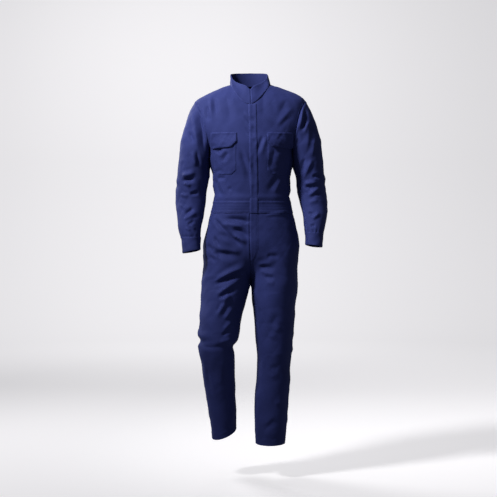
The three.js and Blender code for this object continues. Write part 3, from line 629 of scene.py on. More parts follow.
bodice = {}
for name, (angle, down) in panels.items():
    places, normals = body_point(angle, down), body_normal(angle, down)
    first, last = edge_distance(places, "first"), edge_distance(places, "last")
    beside = np.minimum(first, last) if name == "bodice_back" else last
    relief = seam_relief(beside, 0.7) + puckers(places, beside, 5, 0.3)
    # The cloth blouses a little over the waistband, most at the back, and turns in sharply at the seam
    over_band = mixed(2.0, 3.4, smoothly(normals[..., 1], -0.2, 0.6)) * np.exp(-((down - 461) / 11.0) ** 2)
    over_band = over_band * smoothly(down, 477.5, 470) * smoothly(np.abs(normals[..., 1]), 0.15, 0.75)
    bodice[name] = [drape(places, normals, relief + over_band), normals]

def looking(grid, which, rows=slice(None)):
    """A grid turned so that the named edge is its first column. Writing to it writes to the grid."""
    if which == "first":
        return grid[rows]
    if which == "last":
        return grid[rows, ::-1]
    return (grid if which == "top" else grid[::-1]).transpose(1, 0, 2)[rows]

def toward(view, target, reach=12.0):
    """Moves an edge to its target, and eases the cloth beside it after it."""
    steps = np.linalg.norm(np.diff(view, axis=1), axis=-1)
    run = np.concatenate([np.zeros((len(view), 1)), np.cumsum(steps, 1)], 1)
    view += (target - view[:, 0])[:, None] * np.exp(-(run / reach) ** 2)[..., None]

def join(view_a, view_b):
    middle = (view_a[:, 0] + view_b[:, 0]) / 2
    toward(view_a, middle)
    toward(view_b, middle.copy())

# The shoulder seams run to the neck and the side seams run down from the armholes, which are left open
back = bodice["bodice_back"][0]
for side, edge in (("left", "first"), ("right", "last")):
    front = bodice[f"bodice_front_{side}"][0]
    for rows in (slice(0, len(SHOULDER_ROWS) + 1), slice(len(SHOULDER_ROWS) + AROUND // 2, None)):
        join(looking(front, "last", rows), looking(back, edge, rows))

for name, (outer, normals) in bodice.items():
    armhole = edge_distance(outer, "last")
    piece = shell("cloth_" + name, outer, outer - normals * THICK, BODY_CLOTH,
                  wear=0.3 * worn_at(armhole))
    sewn(piece, name)


# Sleeves: each is cut as an upper and an under sleeve in body twill, joined by felled seams and set into the
# armhole. The seams lie inside and behind the arm, and the sleeve's lower edge is gathered into its cuff.
sleeve_at = {"right": table("inner outer front back middle", """
    340  167.5 300 70 72 6
    381  172 303 67 68 8
    430  180 308 63 65 8
    480  184 308 60 62 1
    529  193 303 56 57 -13
    578  201 297 51 52 -29
    610  204 289 46 47 -40
    621  205 285 43 44 -43
    678  206 276 41 42 -60"""), "left": table("inner outer front back middle", """
    340  172 300 70 72 6
    381  184 303 67 68 8
    430  189 308 63 65 8
    480  197 312 59 61 0
    529  209 312 55 56 -15
    578  217 302 48 49 -32
    592  219 298 45 46 -37
    602  221 294 43 44 -40
    661  222 289 41 42 -58""")}
CUFFS = {"right": (621, 680, 0.2, -0.12), "left": (602, 658, -0.14, -0.12)}
SLEEVE_HEAD_END, ELBOW = 340, 430
SLEEVE_FOLDS = folds("""
    front -238 271 -230 308 -221 340 8 4.5
    front -221 266 -213 308 -209 340 6 -3.9
    front -279 377 -254 367 -221 363 8 6.5
    front -283 392 -254 391 -225 385 7 -7.2
    front -271 402 -258 408 -242 418 6 4.5
    front -250 449 -230 445 -209 441 6 -5.2
    front -287 447 -271 453 -250 457 6 3.9
    front -271 529 -250 517 -230 500 6 -5.2
    front -275 554 -246 537 -215 517 7 5.2
    front -258 574 -242 564 -225 554 5 -3.9
    front -266 584 -254 590 -242 597 4.5 2.6
    front -242 574 -234 582 -223 592 4.5 2.6
    front -254 196 -242 217 -230 246 8 -3.9
    front -271 135 -277 205 -287 275 12 2.6
    front -287 484 -275 500 -254 510 6 3.2
    front -275 308 -279 340 -266 361 8 -3.2
    front 213 86 201 144 193 197 8 3.9
    front 234 148 221 180 213 213 7 3.9
    front 225 102 215 152 205 201 6 -3.9
    front 258 217 252 262 246 303 8 3.9
    front 246 303 230 348 209 394 8 5.2
    front 221 299 209 332 201 365 7 -4.5
    front 246 378 266 375 291 377 6 -5.2
    front 213 406 242 402 275 402 7 5.2
    front 217 418 234 422 250 428 6 -5.2
    front 256 445 271 446 285 449 6 -4.5
    front 230 459 254 439 283 416 7 5.2
    front 230 525 242 527 252 531 5 -3.9
    front 246 551 262 537 279 519 6 4.5
    front 238 578 250 576 262 575 5 -3.9
    front 234 484 254 476 275 471 7 3.2
    front -218 108 -198 190 -186 300 11 -9
    front -240 118 -224 200 -212 280 9 4
    front -206 92 -196 120 -190 150 7 -5
    front 206 90 203 140 200 190 6 4
    front 236 120 232 200 226 280 9 3.5
    back 300 380 250 372 200 388 10 4
    back 296 400 250 396 205 408 9 -5
    back 292 424 250 420 210 432 9 4
    back 290 350 255 344 215 352 10 -4
    back 285 460 250 470 215 462 9 -3
    back 280 520 250 508 222 516 8 3.5
    back 270 560 246 566 226 560 8 -3
    back -300 386 -250 380 -196 394 10 4
    back -298 408 -250 402 -200 414 9 -5
    back -292 432 -250 428 -204 440 9 4
    back -286 354 -250 350 -210 358 10 -4
    back -284 472 -248 480 -212 470 9 -3
    back -276 530 -246 518 -216 528 8 3.5
    back -262 586 -238 580 -216 588 8 -3
    left -40 392 0 384 50 372 10 1.6
    left -44 416 0 408 50 400 9 -1.6
    left -60 530 -20 520 20 510 8 1.2
    left -60 200 0 230 50 240 12 1
    right -40 398 0 390 50 380 10 1.6
    right -44 422 0 414 50 408 9 -1.6
    right -64 546 -24 538 16 524 8 0.6
    right -60 210 0 236 50 250 12 1""")

def armhole_point(side, turn):
    share = np.mod(turn, 1)
    down = armhole_down(share)
    angle = np.where(share < 0.5, armhole_angle(side, "front", down), armhole_angle(side, "back", down))
    return body_point(np.where(share < 0.5, angle, 180 * SIGN[side] - angle), down)

def sleeve_point(side, turn, down, tilt=0.0):
    rise_left, rise_back = CUFFS[side][2:]
    row = sleeve_at[side](down)
    centre = (row["inner"] + row["outer"]) / 2
    sine, cosine = np.sin(2 * np.pi * turn), np.cos(2 * np.pi * turn)
    x = SIGN[side] * (centre - (row["outer"] - row["inner"]) / 2 * cosine)
    y = row["middle"] - np.where(sine > 0, row["front"], row["back"]) * sine
    lift = rise_left * (x - SIGN[side] * centre) + rise_back * (y - row["middle"])
    return point(x, y, down - tilt * lift)

def sleeve_skin(side):
    cuff_top = CUFFS[side][0]

    def skin(turn, reach):
        turn, reach = np.broadcast_arrays(np.asarray(turn, float), np.asarray(reach, float))
        arm = sleeve_point(side, turn, mixed(SLEEVE_HEAD_END, cuff_top, np.maximum(reach, 1) - 1))
        start, end = armhole_point(side, turn), sleeve_point(side, turn, 0 * turn + SLEEVE_HEAD_END)
        length = np.linalg.norm(end - start, axis=-1)[..., None]
        over = (1 - np.cos(2 * np.pi * turn)) / 2
        leave = np.stack([SIGN[side] * mixed(0.03, 0.85, over), -0.12 * np.sin(2 * np.pi * turn),
                          0 * turn - 1], -1)
        leave /= np.linalg.norm(leave, axis=-1, keepdims=True)
        arrive = sleeve_point(side, turn, 0 * turn + SLEEVE_HEAD_END + 4) - end
        arrive /= np.linalg.norm(arrive, axis=-1, keepdims=True)
        t, over = np.minimum(reach, 1)[..., None], over[..., None]
        head = ((start + leave * 0.1) * (2 * t ** 3 - 3 * t ** 2 + 1)
                + leave * length * (t ** 3 - 2 * t ** 2 + t) * mixed(0.9, 0.75, over)
                + end * (3 * t ** 2 - 2 * t ** 3)
                + arrive * length * (t ** 3 - t ** 2) * mixed(0.5, 0.95, over))
        return np.where(reach[..., None] >= 1, arm, head)
    return skin

SLEEVE_REACH = np.concatenate([[0, 0.006, 0.014, 0.026, 0.042], np.linspace(0.06, 1, 58),
                               np.linspace(1, 1.985, 78)[1:], [1.99, 1.995, 2.0, 2.01, 2.02]])
SLEEVE_SEAMS = {"upper": (AROUND // 10, AROUND * 6 // 10), "under": (AROUND * 6 // 10, AROUND * 11 // 10)}

sleeves = {}
for side, sign in SIGN.items():
    skin = sleeve_skin(side)
    rows = slice(len(SHOULDER_ROWS), len(SHOULDER_ROWS) + AROUND // 2 + 1)
    armhole_front = looking(bodice[f"bodice_front_{side}"][0], "last", rows)[:, 0]
    armhole_back = looking(back, "first" if side == "left" else "last", rows)[:, 0]
    ring = np.concatenate([armhole_front[::-1], armhole_back[1:-1]])
    for part, (first_turn, last_turn) in SLEEVE_SEAMS.items():
        steps = np.arange(first_turn, last_turn + 1)
        turn, reach = np.meshgrid(steps / AROUND, SLEEVE_REACH)
        places = skin(turn, reach)
        normals = normals_of(skin, turn, reach, 0.01, 0.01, -sign)
        from_armhole = edge_distance(places, "top")
        from_cuff = edge_distance(places, "bottom") - 5
        beside = np.minimum(edge_distance(places, "first"), edge_distance(places, "last"))
        cap = 1.6 * np.exp(-((from_armhole - 9) / 7.0) ** 2) - 1.0 * np.exp(-(from_armhole / 2.2) ** 2)
        phase = turn * 2 * np.pi
        gathers = np.sin(13 * phase + 1.3 * np.sin(3 * phase + sign))
        gathers = gathers * np.exp(-(np.maximum(from_cuff, 0) / 15.0) ** 2)
        relief = cap + 1.1 * gathers + seam_relief(beside, 0.6) + puckers(places, beside, 8, 0.25)
        elbow = np.exp(-((places[..., 2] + ELBOW) / 90.0) ** 2)
        outer = drape(places, normals, relief, SLEEVE_FOLDS, crush=0.7 + 0.9 * elbow, deep=1.2)
        toward(looking(outer, "top"), ring[steps % AROUND], 9.0)
        sleeves[side, part] = [outer, normals]
    join(looking(sleeves[side, "upper"][0], "last"), looking(sleeves[side, "under"][0], "first"))
    join(looking(sleeves[side, "upper"][0], "first"), looking(sleeves[side, "under"][0], "last"))

for (side, part), (outer, normals) in sleeves.items():
    beside = np.minimum(edge_distance(outer, "first"), edge_distance(outer, "last"))
    piece = shell(f"cloth_sleeve_{part}_{side}", outer, outer - normals * THICK, BODY_CLOTH,
                  wear=0.4 * worn_at(beside, edge_distance(outer, "top")))
    sewn(piece, f"sleeve_{part}_{side}")


# Trousers: a front and a back for each leg in body twill, joined by felled side seams, inseams and a middle
# seam, and sewn into the waistband. The hems are turned up twice and topstitched.
leg_at = {"right": table("inner outer front back middle", """
    600   0 188 118 120 12
    700   0 196 118 126 12
    803   0.3 200 116 120 9
    849   12 204 112 112 0
    898   25 205 106 104 -9
    947   37 209 99 96 -19
    996   45 212 92 88 -30
    1021  49 217 89 85 -36
    1043  56 207 86 80 -40
    1066  73 212 84 80 -38
    1100  69 211 82 82 -32
    1144  66 202 79 84 -22
    1242  65 189 73 84 0
    1341  61 173 69 80 22
    1434  60 161 68 78 42"""), "left": table("inner outer front back middle", """
    600   0 190 118 120 12
    700   0 194 118 126 12
    803   0.3 190.5 116 120 9
    849   4 189 108 111 7
    898   8 184 102 102 5
    996   16 176 91 89 1
    1066  22 170 84 80 0
    1110  26 165 80 78 1
    1156  24 163 77 80 3
    1242  20 159 73 84 6
    1341  16 152 70 82 9
    1439  16 144 69 79 11
    1471  19 140 69 78 12""")}
FORK_START, CROTCH, THIGH_END, KNEE = 600, 803, 915, 1040
HEMS = {"right": (1437, 0.38, 0.16), "left": (1473, 0.0, 0.02)}

def leg_point(side, turn, down):
    row = leg_at[side](down)
    hem, rise_left, rise_back = HEMS[side]
    inner = np.maximum(row["inner"], 0.3)
    centre = (inner + row["outer"]) / 2
    sine, cosine = np.sin(2 * np.pi * turn), np.cos(2 * np.pi * turn)
    x = SIGN[side] * (centre - (row["outer"] - inner) / 2 * cosine)
    y = row["middle"] - np.where(sine > 0, row["front"], row["back"]) * sine
    lift = rise_left * (x - SIGN[side] * centre) + rise_back * (y - row["middle"])
    return point(x, y, down - smoothly(down, 1180, hem) * lift)

def trouser_skin(side, face):
    sign = SIGN[side]

    def skin(u, down):
        u, down = np.broadcast_arrays(np.asarray(u, float), np.asarray(down, float))
        start = body_angle(opening_at(down)["x"], down) if face == "front" else 180.0 * sign
        hip = body_point(start + (90 * sign - start) * u, down)
        leg = leg_point(side, u / 2 if face == "front" else 1 - u / 2, np.maximum(down, FORK_START))
        outwards = smoothly(u, 0, 0.42)
        share = np.clip((down - FORK_START) / (mixed(CROTCH, THIGH_END, outwards) - FORK_START), 0, 1)
        over = mixed(share ** 3, share * share * (3 - 2 * share), outwards)[..., None]
        return hip + (leg - hip) * over
    return skin

RISE = mixed(FORK_START, CROTCH, np.sin(np.radians(np.linspace(0, 90, 52))))
HIP_ROWS = np.concatenate([[523, 525, 527, 530, 534], np.linspace(538, FORK_START, 18)[:-1], RISE])
CROTCH_ROW = len(HIP_ROWS) - 1
trousers = {}
leg_rows = {}
for side, sign in SIGN.items():
    hem = HEMS[side][0]
    leg_rows[side] = np.concatenate([HIP_ROWS, np.linspace(CROTCH, hem - 8, 172)[1:],
                                     [hem - 6, hem - 4, hem - 2.5, hem - 1, hem]])
    for face in ("front", "back"):
        skin = trouser_skin(side, face)
        u, down = np.meshgrid(fine_at_ends(76), leg_rows[side])
        places = skin(u, down)
        normals = normals_of(skin, u, down, 0.002, 0.5, -sign if face == "front" else sign)
        inseam, outseam = edge_distance(places, "first"), edge_distance(places, "last")
        hem_distance = hem - down
        hem_band = 0.5 * smoothly(hem_distance, 27, 24) + 0.5 * np.exp(-((hem_distance - 1) / 1.6) ** 2)
        hem_band += 0.5 * waves(places, 21, 8, 14, 30, 1.0) * np.exp(-((hem_distance - 25) / 9.0) ** 2)
        middle = smoothly(down, CROTCH + 30, CROTCH - 10)
        seam = mixed(0.7, 1.4 if face == "front" else 1.0, middle)
        relief = seam_relief(outseam, 0.8) + seam_relief(inseam, seam)
        relief = relief + puckers(places, outseam, 3, 0.35) + puckers(places, inseam, 4, 0.3)
        knee, fork = np.exp(-((down - KNEE) / 90.0) ** 2), np.exp(-((down - 800) / 110.0) ** 2)
        crush = 0.55 + 0.5 * knee + 0.5 * fork
        trousers[side, face] = [drape(places, normals, relief + hem_band, crush=crush), normals]
above, below = slice(0, CROTCH_ROW + 1), slice(CROTCH_ROW, None)
for face in ("front", "back"):
    join(*[looking(trousers[side, face][0], "first", above) for side in SIGN])
for side in SIGN:
    join(*[looking(trousers[side, face][0], "first", below) for face in ("front", "back")])
    join(*[looking(trousers[side, face][0], "last") for face in ("front", "back")])
crotch = sum(grid[CROTCH_ROW, 0] for grid, _ in trousers.values()) / 4
for grid, _ in trousers.values():
    toward(grid[CROTCH_ROW:CROTCH_ROW + 1], crotch[None], 2.0)

for (side, face), (outer, normals) in trousers.items():
    beside = np.minimum(edge_distance(outer, "first"), edge_distance(outer, "last"))
    hem_edge = HEMS[side][0] - leg_rows[side][:, None] + 0 * beside
    piece = shell(f"cloth_trouser_{face}_{side}", outer, outer - normals * THICK, BODY_CLOTH,
                  wear=np.maximum(0.35 * worn_at(beside), 0.8 * worn_at(hem_edge)))
    sewn(piece, f"trouser_{face}_{side}")


# Waistband: one band of doubled, interlined twill over the joint of bodice and trousers, topstitched along
# both edges and in three rows between them. Its two ends meet at the front opening, under the placket.
BAND_CLOTH = cloth_material("navy_twill_doubled", (0.0275, 0.0362, 0.148), 0.04, 0.72)
BAND_BOTTOM = 525
BAND_STITCHING = (13.5, 25, 36.5)
band_rows = [WAIST_SEAM, 477, 478.5, *np.linspace(481, 520, 27), 522.5, 524, BAND_BOTTOM]
down, share = np.meshgrid(band_rows, np.linspace(0, 1, 241), indexing="ij")
opening = float(opening_at(WAIST_SEAM)["x"])
start, end = body_angle(opening + 0.15 + 0 * down, down), 360 + body_angle(opening - 0.15 + 0 * down, down)
angle = mixed(start, end, share)
places, normals = body_point(angle, down), body_normal(angle, down)
from_edges = np.minimum(down - WAIST_SEAM, BAND_BOTTOM - down)
height = 1.7 - 0.5 * np.exp(-(from_edges / 1.2) ** 2) + 0.55 * np.exp(-((from_edges - 6.5) / 4.0) ** 2)
height = height + 0.35 * waves(places, 31, 10, 11, 26, 1.0) * np.exp(-(from_edges / 7.0) ** 2)
for row in BAND_STITCHING:
    height = height - 0.22 * np.exp(-((down - WAIST_SEAM - row) / 1.8) ** 2)
height = height + 0.5 * waves(places, 32, 8, 40, 110, 1.0)
band_outer = drape(places, normals, height, calm=0.6)
piece = shell("cloth_waistband", band_outer, band_outer - normals * 1.3, BAND_CLOTH,
              wear=0.5 * worn_at(from_edges, reach=2.2))
sewn(piece, "waistband")


# Collar: a stand of doubled, interlined twill, topstitched round its edge and sewn to the neckline. Its ends
# meet at the front in a small notch, above the hidden fastening.
collar_top = table("rise", """
    0    -28
    6    -20
    13   -11
    35   0
    62   17
    90   40
    130  49
    180  52""")

def collar_point(angle, share):
    turn = np.radians(angle)
    sine, cosine = np.sin(turn), np.cos(turn)
    x = np.where(angle > 0, NECK_LEFT, NECK_RIGHT) * sine
    front = np.abs(angle) < 90
    down = np.where(front, neckline_down(x), 0.0)
    foot_angle = np.where(front, body_angle(x, down), angle)
    lift = mixed(0.1, 1.6, smoothly(cosine, -0.4, 0.3))[..., None]
    foot = body_point(foot_angle, down) + body_normal(foot_angle, down + 1.5) * lift
    reach = np.where(front, -72.0 * (1 - np.abs(sine) ** 1.35) ** 0.74, 47.0 * np.abs(cosine) ** 0.95)
    edge = np.stack([x * np.where(angle > 0, 0.88, 0.93) - 3, 4 + reach,
                     collar_top(np.abs(angle))["rise"]], -1)
    return foot + (edge - foot) * np.asarray(share)[..., None]

half_round = 0.6 + 179.4 * (np.linspace(0, 1, 91) ** 1.15)
angles = np.concatenate([half_round, -half_round[-2::-1]])
collar_rows = [-0.05, -0.035, 0.0, 0.04, *np.linspace(0.09, 0.9, 18), 0.94, 0.97, 0.988, 1.0]
share, angle = np.meshgrid(collar_rows, angles, indexing="ij")
places = collar_point(angle, share)
across = collar_point(angle + 0.4, share) - collar_point(angle - 0.4, share)
along = collar_point(angle, share + 0.02) - collar_point(angle, share - 0.02)
normals = np.cross(across, along)
normals /= np.linalg.norm(normals, axis=-1, keepdims=True)
from_edges = np.minimum(edge_distance(places, "top"), edge_distance(places, "bottom"))
from_ends = np.minimum(edge_distance(places, "first"), edge_distance(places, "last"))
from_rim = np.minimum(from_edges, from_ends)
swell = 0.5 * np.exp(-((from_rim - 6) / 4.0) ** 2) - 0.5 * np.exp(-(from_rim / 1.0) ** 2)
swell = swell + 0.5 * waves(places, 41, 10, 22, 70, 1.0) + 0.9 * smoothly(share, 0.5, 1.0)
rise = mixed(0.9, 2.5, smoothly(share, -0.05, 0.30))
collar_outer = places + normals * (rise + swell)[..., None]
inside = -0.2 + 0.4 * np.exp(-(from_rim / 1.0) ** 2) + 0.9 * smoothly(share, 0.5, 1.0)
collar_inner = places + normals * inside[..., None]
piece = shell("cloth_collar", collar_outer, collar_inner, BAND_CLOTH, wear=0.8 * worn_at(from_rim, reach=2.0))
sewn(piece, "collar")


# Cuffs: round bands of doubled, interlined twill, closed with hidden fastenings and topstitched at both
# edges. The sleeve's gathered edge is caught between their layers.
cuff_grids = {}
for side, sign in SIGN.items():
    top, bottom, _, _ = CUFFS[side]

    def cuff_skin(turn, down):
        return sleeve_point(side, turn, down, smoothly(down, top, bottom))

    down, turn = np.meshgrid(np.concatenate([[top, top + 1, top + 2.5], np.linspace(top + 5, bottom - 5, 15),
                                             [bottom - 2.5, bottom - 1, bottom]]),
                             np.arange(AROUND) / AROUND, indexing="ij")
    places, normals = cuff_skin(turn, down), normals_of(cuff_skin, turn, down, 0.01, 0.5, -sign)
    from_edges = np.minimum(down - top, bottom - down)
    height = 1.5 - 0.5 * np.exp(-(from_edges / 1.1) ** 2) + 0.45 * np.exp(-((from_edges - 6) / 3.5) ** 2)
    height = height + 0.6 * waves(places, 51, 8, 24, 70, 1.0)
    outer = places + normals * height[..., None]
    piece = shell(f"cloth_cuff_{side}", outer, outer - normals * 1.4, BAND_CLOTH, round_=True,
                  wear=0.8 * worn_at(from_edges, reach=2.2))
    sewn(piece, f"cuff_{side}")
    cuff_grids[side] = outer


# Placket and fly: the placket covers the front fastening from the neckline to the bottom of the waistband,
# and the fly covers the opening of the trousers. Both are turned-in strips of body twill, topstitched to the
# left front.
TRIM_CLOTH = cloth_material("navy_twill_turned", (0.0299, 0.0393, 0.161), 0.05, 0.71)
PLACKET = {"top": 86, "bottom": 524, "left": 23, "right": 8}

def on_body(x, down, lift, swell, thick=1.3):
    angle = body_angle(x, down)
    places, normals = body_point(angle, down), body_normal(angle, down)
    return drape(places, normals, lift + thick + swell), drape(places, normals, lift + 0 * down)

down, across = np.meshgrid(np.linspace(PLACKET["top"], PLACKET["bottom"], 176),
                           fine_at_ends(11, (0.25, 0.55)), indexing="ij")
x = opening_at(np.minimum(down, 500))["x"] + mixed(-PLACKET["right"], PLACKET["left"], across)
lift = mixed(0.25, 2.4, smoothly(down, WAIST_SEAM - 16, WAIST_SEAM - 1))
width = PLACKET["left"] + PLACKET["right"]
from_sides = np.minimum(across, 1 - across) * width
from_rim = np.minimum(from_sides, np.minimum(down - PLACKET["top"], PLACKET["bottom"] - down))
stud = np.exp(-((down - 228) ** 2 + (x - 8) ** 2) / 11.0 ** 2)
swell = 0.7 * np.exp(-((from_sides - 6) / 4.0) ** 2) - 0.4 * np.exp(-(from_rim / 0.9) ** 2) + 1.1 * stud
swell = swell + 0.22 * waves(point(x, 0 * x, down), 61, 10, 13, 32, 1.0) * smoothly(down, 480, 440)
swell = swell - 0.95 * smoothly(across * width, 6, 0.5) + 0.7 * np.exp(-((1 - across) * width / 5.0) ** 2)
placket_outer, placket_inner = on_body(x, down, lift, swell)
piece = shell("cloth_placket", placket_outer, placket_inner, TRIM_CLOTH,
              wear=0.6 * worn_at(from_rim, reach=1.8))
sewn(piece, "placket")

FLY = {"top": 528, "bottom": 716, "wide": 34, "curve": 60}
v, across = np.meshgrid(fine_at_ends(70), fine_at_ends(12, (0.25, 0.55)), indexing="ij")
down = mixed(FLY["top"], FLY["bottom"], v)
into_curve = np.clip((down - (FLY["bottom"] - FLY["curve"])) / FLY["curve"], 0, 1)
wide = FLY["wide"] * np.sqrt(1 - 0.96 * into_curve ** 2)
start = body_angle(opening_at(down)["x"], down)
reach = body_angle(opening_at(down)["x"] + wide, down)
u = mixed(0.002, (reach - start) / (90 - start), across)
fly_skin = trouser_skin("left", "front")
places, normals = fly_skin(u, down), normals_of(fly_skin, u, down, 0.002, 0.5, -1)
from_sides = np.minimum(across, 1 - across) * wide
swell = 0.4 * np.exp(-((from_sides - 5) / 3.5) ** 2) - 0.3 * np.exp(-(from_sides / 0.9) ** 2)
fly_outer = drape(places, normals, mixed(1.5 + swell, 0.55, smoothly(across, 0.55, 0.97)))
piece = shell("cloth_fly", fly_outer, drape(places, normals, 0.25 + 0 * u), TRIM_CLOTH,
              wear=0.5 * worn_at(from_sides, reach=1.8))
sewn(piece, "fly")


# Chest pockets and flaps: patch pockets with the lower corners cut off, and flaps of two layers that hang
# free at their lower edge. Raw edges are turned in and topstitched, so that they stand a little proud.
POCKET = {"inner": 63, "outer": 150, "top": 214, "bottom": 370, "corner": 18}
FLAP = {"inner": 61, "outer": 163, "top": 202, "bottom": 257, "drop": 9, "corner": 20}
POCKET_MIDDLE = 3
pocket_grids, flap_grids = {}, {}
for side, sign in SIGN.items():
    v, across = np.meshgrid(fine_at_ends(44), fine_at_ends(30, (0.25, 0.55)), indexing="ij")
    wide = POCKET["outer"] - POCKET["inner"]
    from_sides = np.minimum(across, 1 - across) * wide
    bottom = POCKET["bottom"] - np.maximum(0, POCKET["corner"] - from_sides)
    down = mixed(POCKET["top"], bottom, v)
    x = POCKET_MIDDLE + sign * mixed(POCKET["inner"], POCKET["outer"], across)
    from_rim = np.minimum(from_sides, bottom - down)
    swell = 0.5 * np.exp(-((from_rim - 5) / 3.5) ** 2) - 0.4 * np.exp(-(from_rim / 0.9) ** 2)
    swell = swell + 1.2 * smoothly(from_rim, 4, 34) + 0.25 * waves(point(x, 0 * x, down), 71, 9, 12, 28, 1.0)
    outer, inner = on_body(x, down, 0.2, swell, 0.75)
    piece = shell(f"cloth_chest_pocket_{side}", outer, inner, TRIM_CLOTH,
                  wear=0.5 * worn_at(from_rim, reach=1.8))
    sewn(piece, f"chest_pocket_{side}")
    pocket_grids[side] = outer

    v, across = np.meshgrid(fine_at_ends(22), fine_at_ends(40), indexing="ij")
    wide = FLAP["outer"] - FLAP["inner"]
    run = across * wide
    corner = np.maximum(0, np.maximum(FLAP["corner"] - run, FLAP["corner"] / 2 - (wide - run)))
    bottom = FLAP["bottom"] + FLAP["drop"] * across - corner
    down = mixed(FLAP["top"], bottom, v)
    x = POCKET_MIDDLE + sign * mixed(FLAP["inner"], FLAP["outer"], across)
    from_rim = np.minimum(np.minimum(run, wide - run), np.minimum(bottom - down, down - FLAP["top"]))
    hang = smoothly(v, 0.15, 1.0)
    lift = 2.0 + (3.6 + 1.8 * np.sin(5.2 * across + 1.1 * sign)) * hang
    swell = 0.6 * np.exp(-((from_rim - 5) / 3.5) ** 2) - 0.4 * np.exp(-(from_rim / 0.9) ** 2)
    outer, inner = on_body(x, down, lift, swell + 0.3 * waves(point(x, 0 * x, down), 72, 9, 14, 34, 1.0))
    piece = shell(f"cloth_pocket_flap_{side}", outer, inner, TRIM_CLOTH,
                  wear=0.7 * worn_at(from_rim, reach=1.8))
    sewn(piece, f"pocket_flap_{side}")
    flap_grids[side] = outer


# Topstitching: navy thread about 0.4 mm thick in stitches 3.4 mm apart, along the seams and edges that it is
# sewn on. Each line of it lies on its panel, and a node group strings the stitches along all the lines.
STITCH_PITCH, STITCH_SIZE = 0.0034, (0.00022, 0.00022, 0.00135)

def stitch_line(grid, which, inset, rows=slice(None), proud=0.12):
    view = looking(grid, which, rows)
    steps = np.linalg.norm(np.diff(view, axis=1), axis=-1)
    run = np.concatenate([np.zeros((len(view), 1)), np.cumsum(steps, 1)], 1)

    def at(far):
        return np.array([[np.interp(far, run[k], row[:, axis]) for axis in range(3)]
                         for k, row in enumerate(view)])

    line, nearby = at(inset), at(inset + 3)
    up = np.cross(np.gradient(line, axis=0), nearby - line)
    up /= np.linalg.norm(up, axis=-1, keepdims=True) + 1e-9
    return line, up * proud

lines = []

def stitch(grid, which, *insets, rows=slice(None), outwards=None, closed=False):
    for inset in insets:
        line, up = stitch_line(grid, which, inset, rows)
        if (up[len(up) // 2] @ outwards) < 0:
            up = -up
        lines.append((line + up, closed))

FRONT, BACK = np.array([0, -1.0, 0]), np.array([0, 1.0, 0])
for side, sign in SIGN.items():
    outside = np.array([sign * 1.0, 0, 0])
    front = bodice[f"bodice_front_{side}"][0]
    edge = "first" if side == "left" else "last"
    count = len(SHOULDER_ROWS)
    stitch(back, edge, 2, 8, rows=slice(0, count), outwards=np.array([0, 0.4, 1.0]))
    stitch(front, "last", 2, 8, rows=slice(count + 1, count + AROUND // 2), outwards=FRONT)
    stitch(back, edge, 2, 8, rows=slice(count + 1, count + AROUND // 2), outwards=BACK)
    stitch(front, "last", 2, 8, rows=slice(count + AROUND // 2, None), outwards=outside)
    stitch(sleeves[side, "under"][0], "first", 2, 8, outwards=outside + BACK)
    stitch(sleeves[side, "under"][0], "last", 2, outwards=-outside + FRONT)
    stitch(trousers[side, "front"][0], "last", 2, 8, outwards=outside)
    stitch(trousers[side, "front"][0], "first", 2, 8, rows=slice(CROTCH_ROW, None), outwards=-outside)
    for face, outwards in (("front", FRONT), ("back", BACK)):
        stitch(trousers[side, face][0], "bottom", 24, outwards=outwards)
    stitch(cuff_grids[side], "top", 2.5, outwards=outside, closed=True)
    stitch(cuff_grids[side], "bottom", 2.5, 8, outwards=outside, closed=True)
    for which in ("first", "last", "bottom", "top"):
        stitch(flap_grids[side], which, 2, 7, outwards=FRONT)
    for which in ("first", "last", "bottom"):
        stitch(pocket_grids[side], which, 2, outwards=FRONT)
stitch(trousers["left", "back"][0], "first", 2, 8, rows=slice(0, CROTCH_ROW), outwards=BACK)
stitch(trousers["right", "front"][0], "first", 2, rows=slice(0, CROTCH_ROW), outwards=FRONT)
stitch(band_outer, "top", 2.5, *BAND_STITCHING, outwards=FRONT)
stitch(band_outer, "bottom", 2.5, outwards=FRONT)
stitch(collar_outer, "top", 2.5, outwards=BACK)
stitch(collar_outer, "bottom", 3, 9, outwards=BACK)
stitch(placket_outer, "last", 2.5, outwards=FRONT)
stitch(placket_outer, "first", 2.5, outwards=FRONT)
stitch(fly_outer, "last", 2.5, 7, outwards=FRONT)

points, edges = [], []
for line, closed in lines:
    base = len(points)
    points += (line / 1000).tolist()
    edges += [(base + k, base + k + 1) for k in range(len(line) - 1)]
    if closed:
        edges.append((base + len(line) - 1, base))
paths = bpy.data.meshes.new("stitch_paths")
paths.from_pydata(points, edges, [])
thread = cloth_material("navy_thread", (0.031, 0.042, 0.170), 0.15, 0.5)

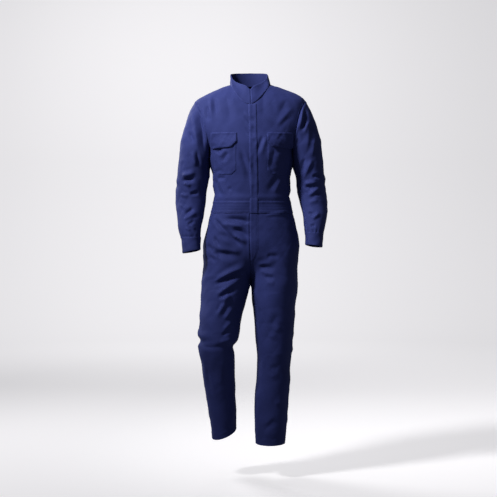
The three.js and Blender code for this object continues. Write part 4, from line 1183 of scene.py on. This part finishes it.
group = bpy.data.node_groups.new("stitches", "GeometryNodeTree")
for name, way, kind in (("Paths", "INPUT", "Geometry"), ("Pitch", "INPUT", "Float"),
                        ("Stitch", "INPUT", "Vector"), ("Stitches", "OUTPUT", "Geometry")):
    group.interface.new_socket(name=name, in_out=way, socket_type="NodeSocket" + kind)
nodes, links = group.nodes, group.links
entry, leaving = nodes.new("NodeGroupInput"), nodes.new("NodeGroupOutput")
to_curve = nodes.new("GeometryNodeMeshToCurve")
resample = nodes.new("GeometryNodeResampleCurve")
resample.mode = "LENGTH"
ball = nodes.new("GeometryNodeMeshIcoSphere")
ball.inputs["Radius"].default_value = 1.0
ball.inputs["Subdivisions"].default_value = 1
shape = nodes.new("GeometryNodeTransform")
tangent = nodes.new("GeometryNodeInputTangent")
align = nodes.new("FunctionNodeAlignRotationToVector")
align.axis = "Z"
place = nodes.new("GeometryNodeInstanceOnPoints")
realise = nodes.new("GeometryNodeRealizeInstances")
dress = nodes.new("GeometryNodeSetMaterial")
dress.inputs["Material"].default_value = thread
links.new(entry.outputs["Paths"], to_curve.inputs["Mesh"])
links.new(to_curve.outputs["Curve"], resample.inputs["Curve"])
links.new(entry.outputs["Pitch"], resample.inputs["Length"])
links.new(ball.outputs["Mesh"], shape.inputs["Geometry"])
links.new(entry.outputs["Stitch"], shape.inputs["Scale"])
links.new(resample.outputs["Curve"], place.inputs["Points"])
links.new(shape.outputs["Geometry"], place.inputs["Instance"])
links.new(tangent.outputs["Tangent"], align.inputs["Vector"])
links.new(align.outputs["Rotation"], place.inputs["Rotation"])
links.new(place.outputs["Instances"], realise.inputs["Geometry"])
links.new(realise.outputs["Geometry"], dress.inputs["Geometry"])
links.new(dress.outputs["Geometry"], leaving.inputs["Stitches"])

strung = bpy.data.objects.new("stitch_paths", paths)
bpy.context.scene.collection.objects.link(strung)
modifier = strung.modifiers.new("stitches", "NODES")
modifier.node_group = group
sockets = {item.name: item.identifier for item in group.interface.items_tree if item.in_out == "INPUT"}
modifier[sockets["Pitch"]] = STITCH_PITCH
modifier[sockets["Stitch"]] = STITCH_SIZE
bpy.context.view_layer.update()
made = bpy.data.meshes.new_from_object(strung.evaluated_get(bpy.context.evaluated_depsgraph_get()))
made.name = "topstitching"
bpy.data.objects.remove(strung)
stitching = bpy.data.objects.new("topstitching", made)
bpy.context.scene.collection.objects.link(stitching)
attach(stitching, "root")
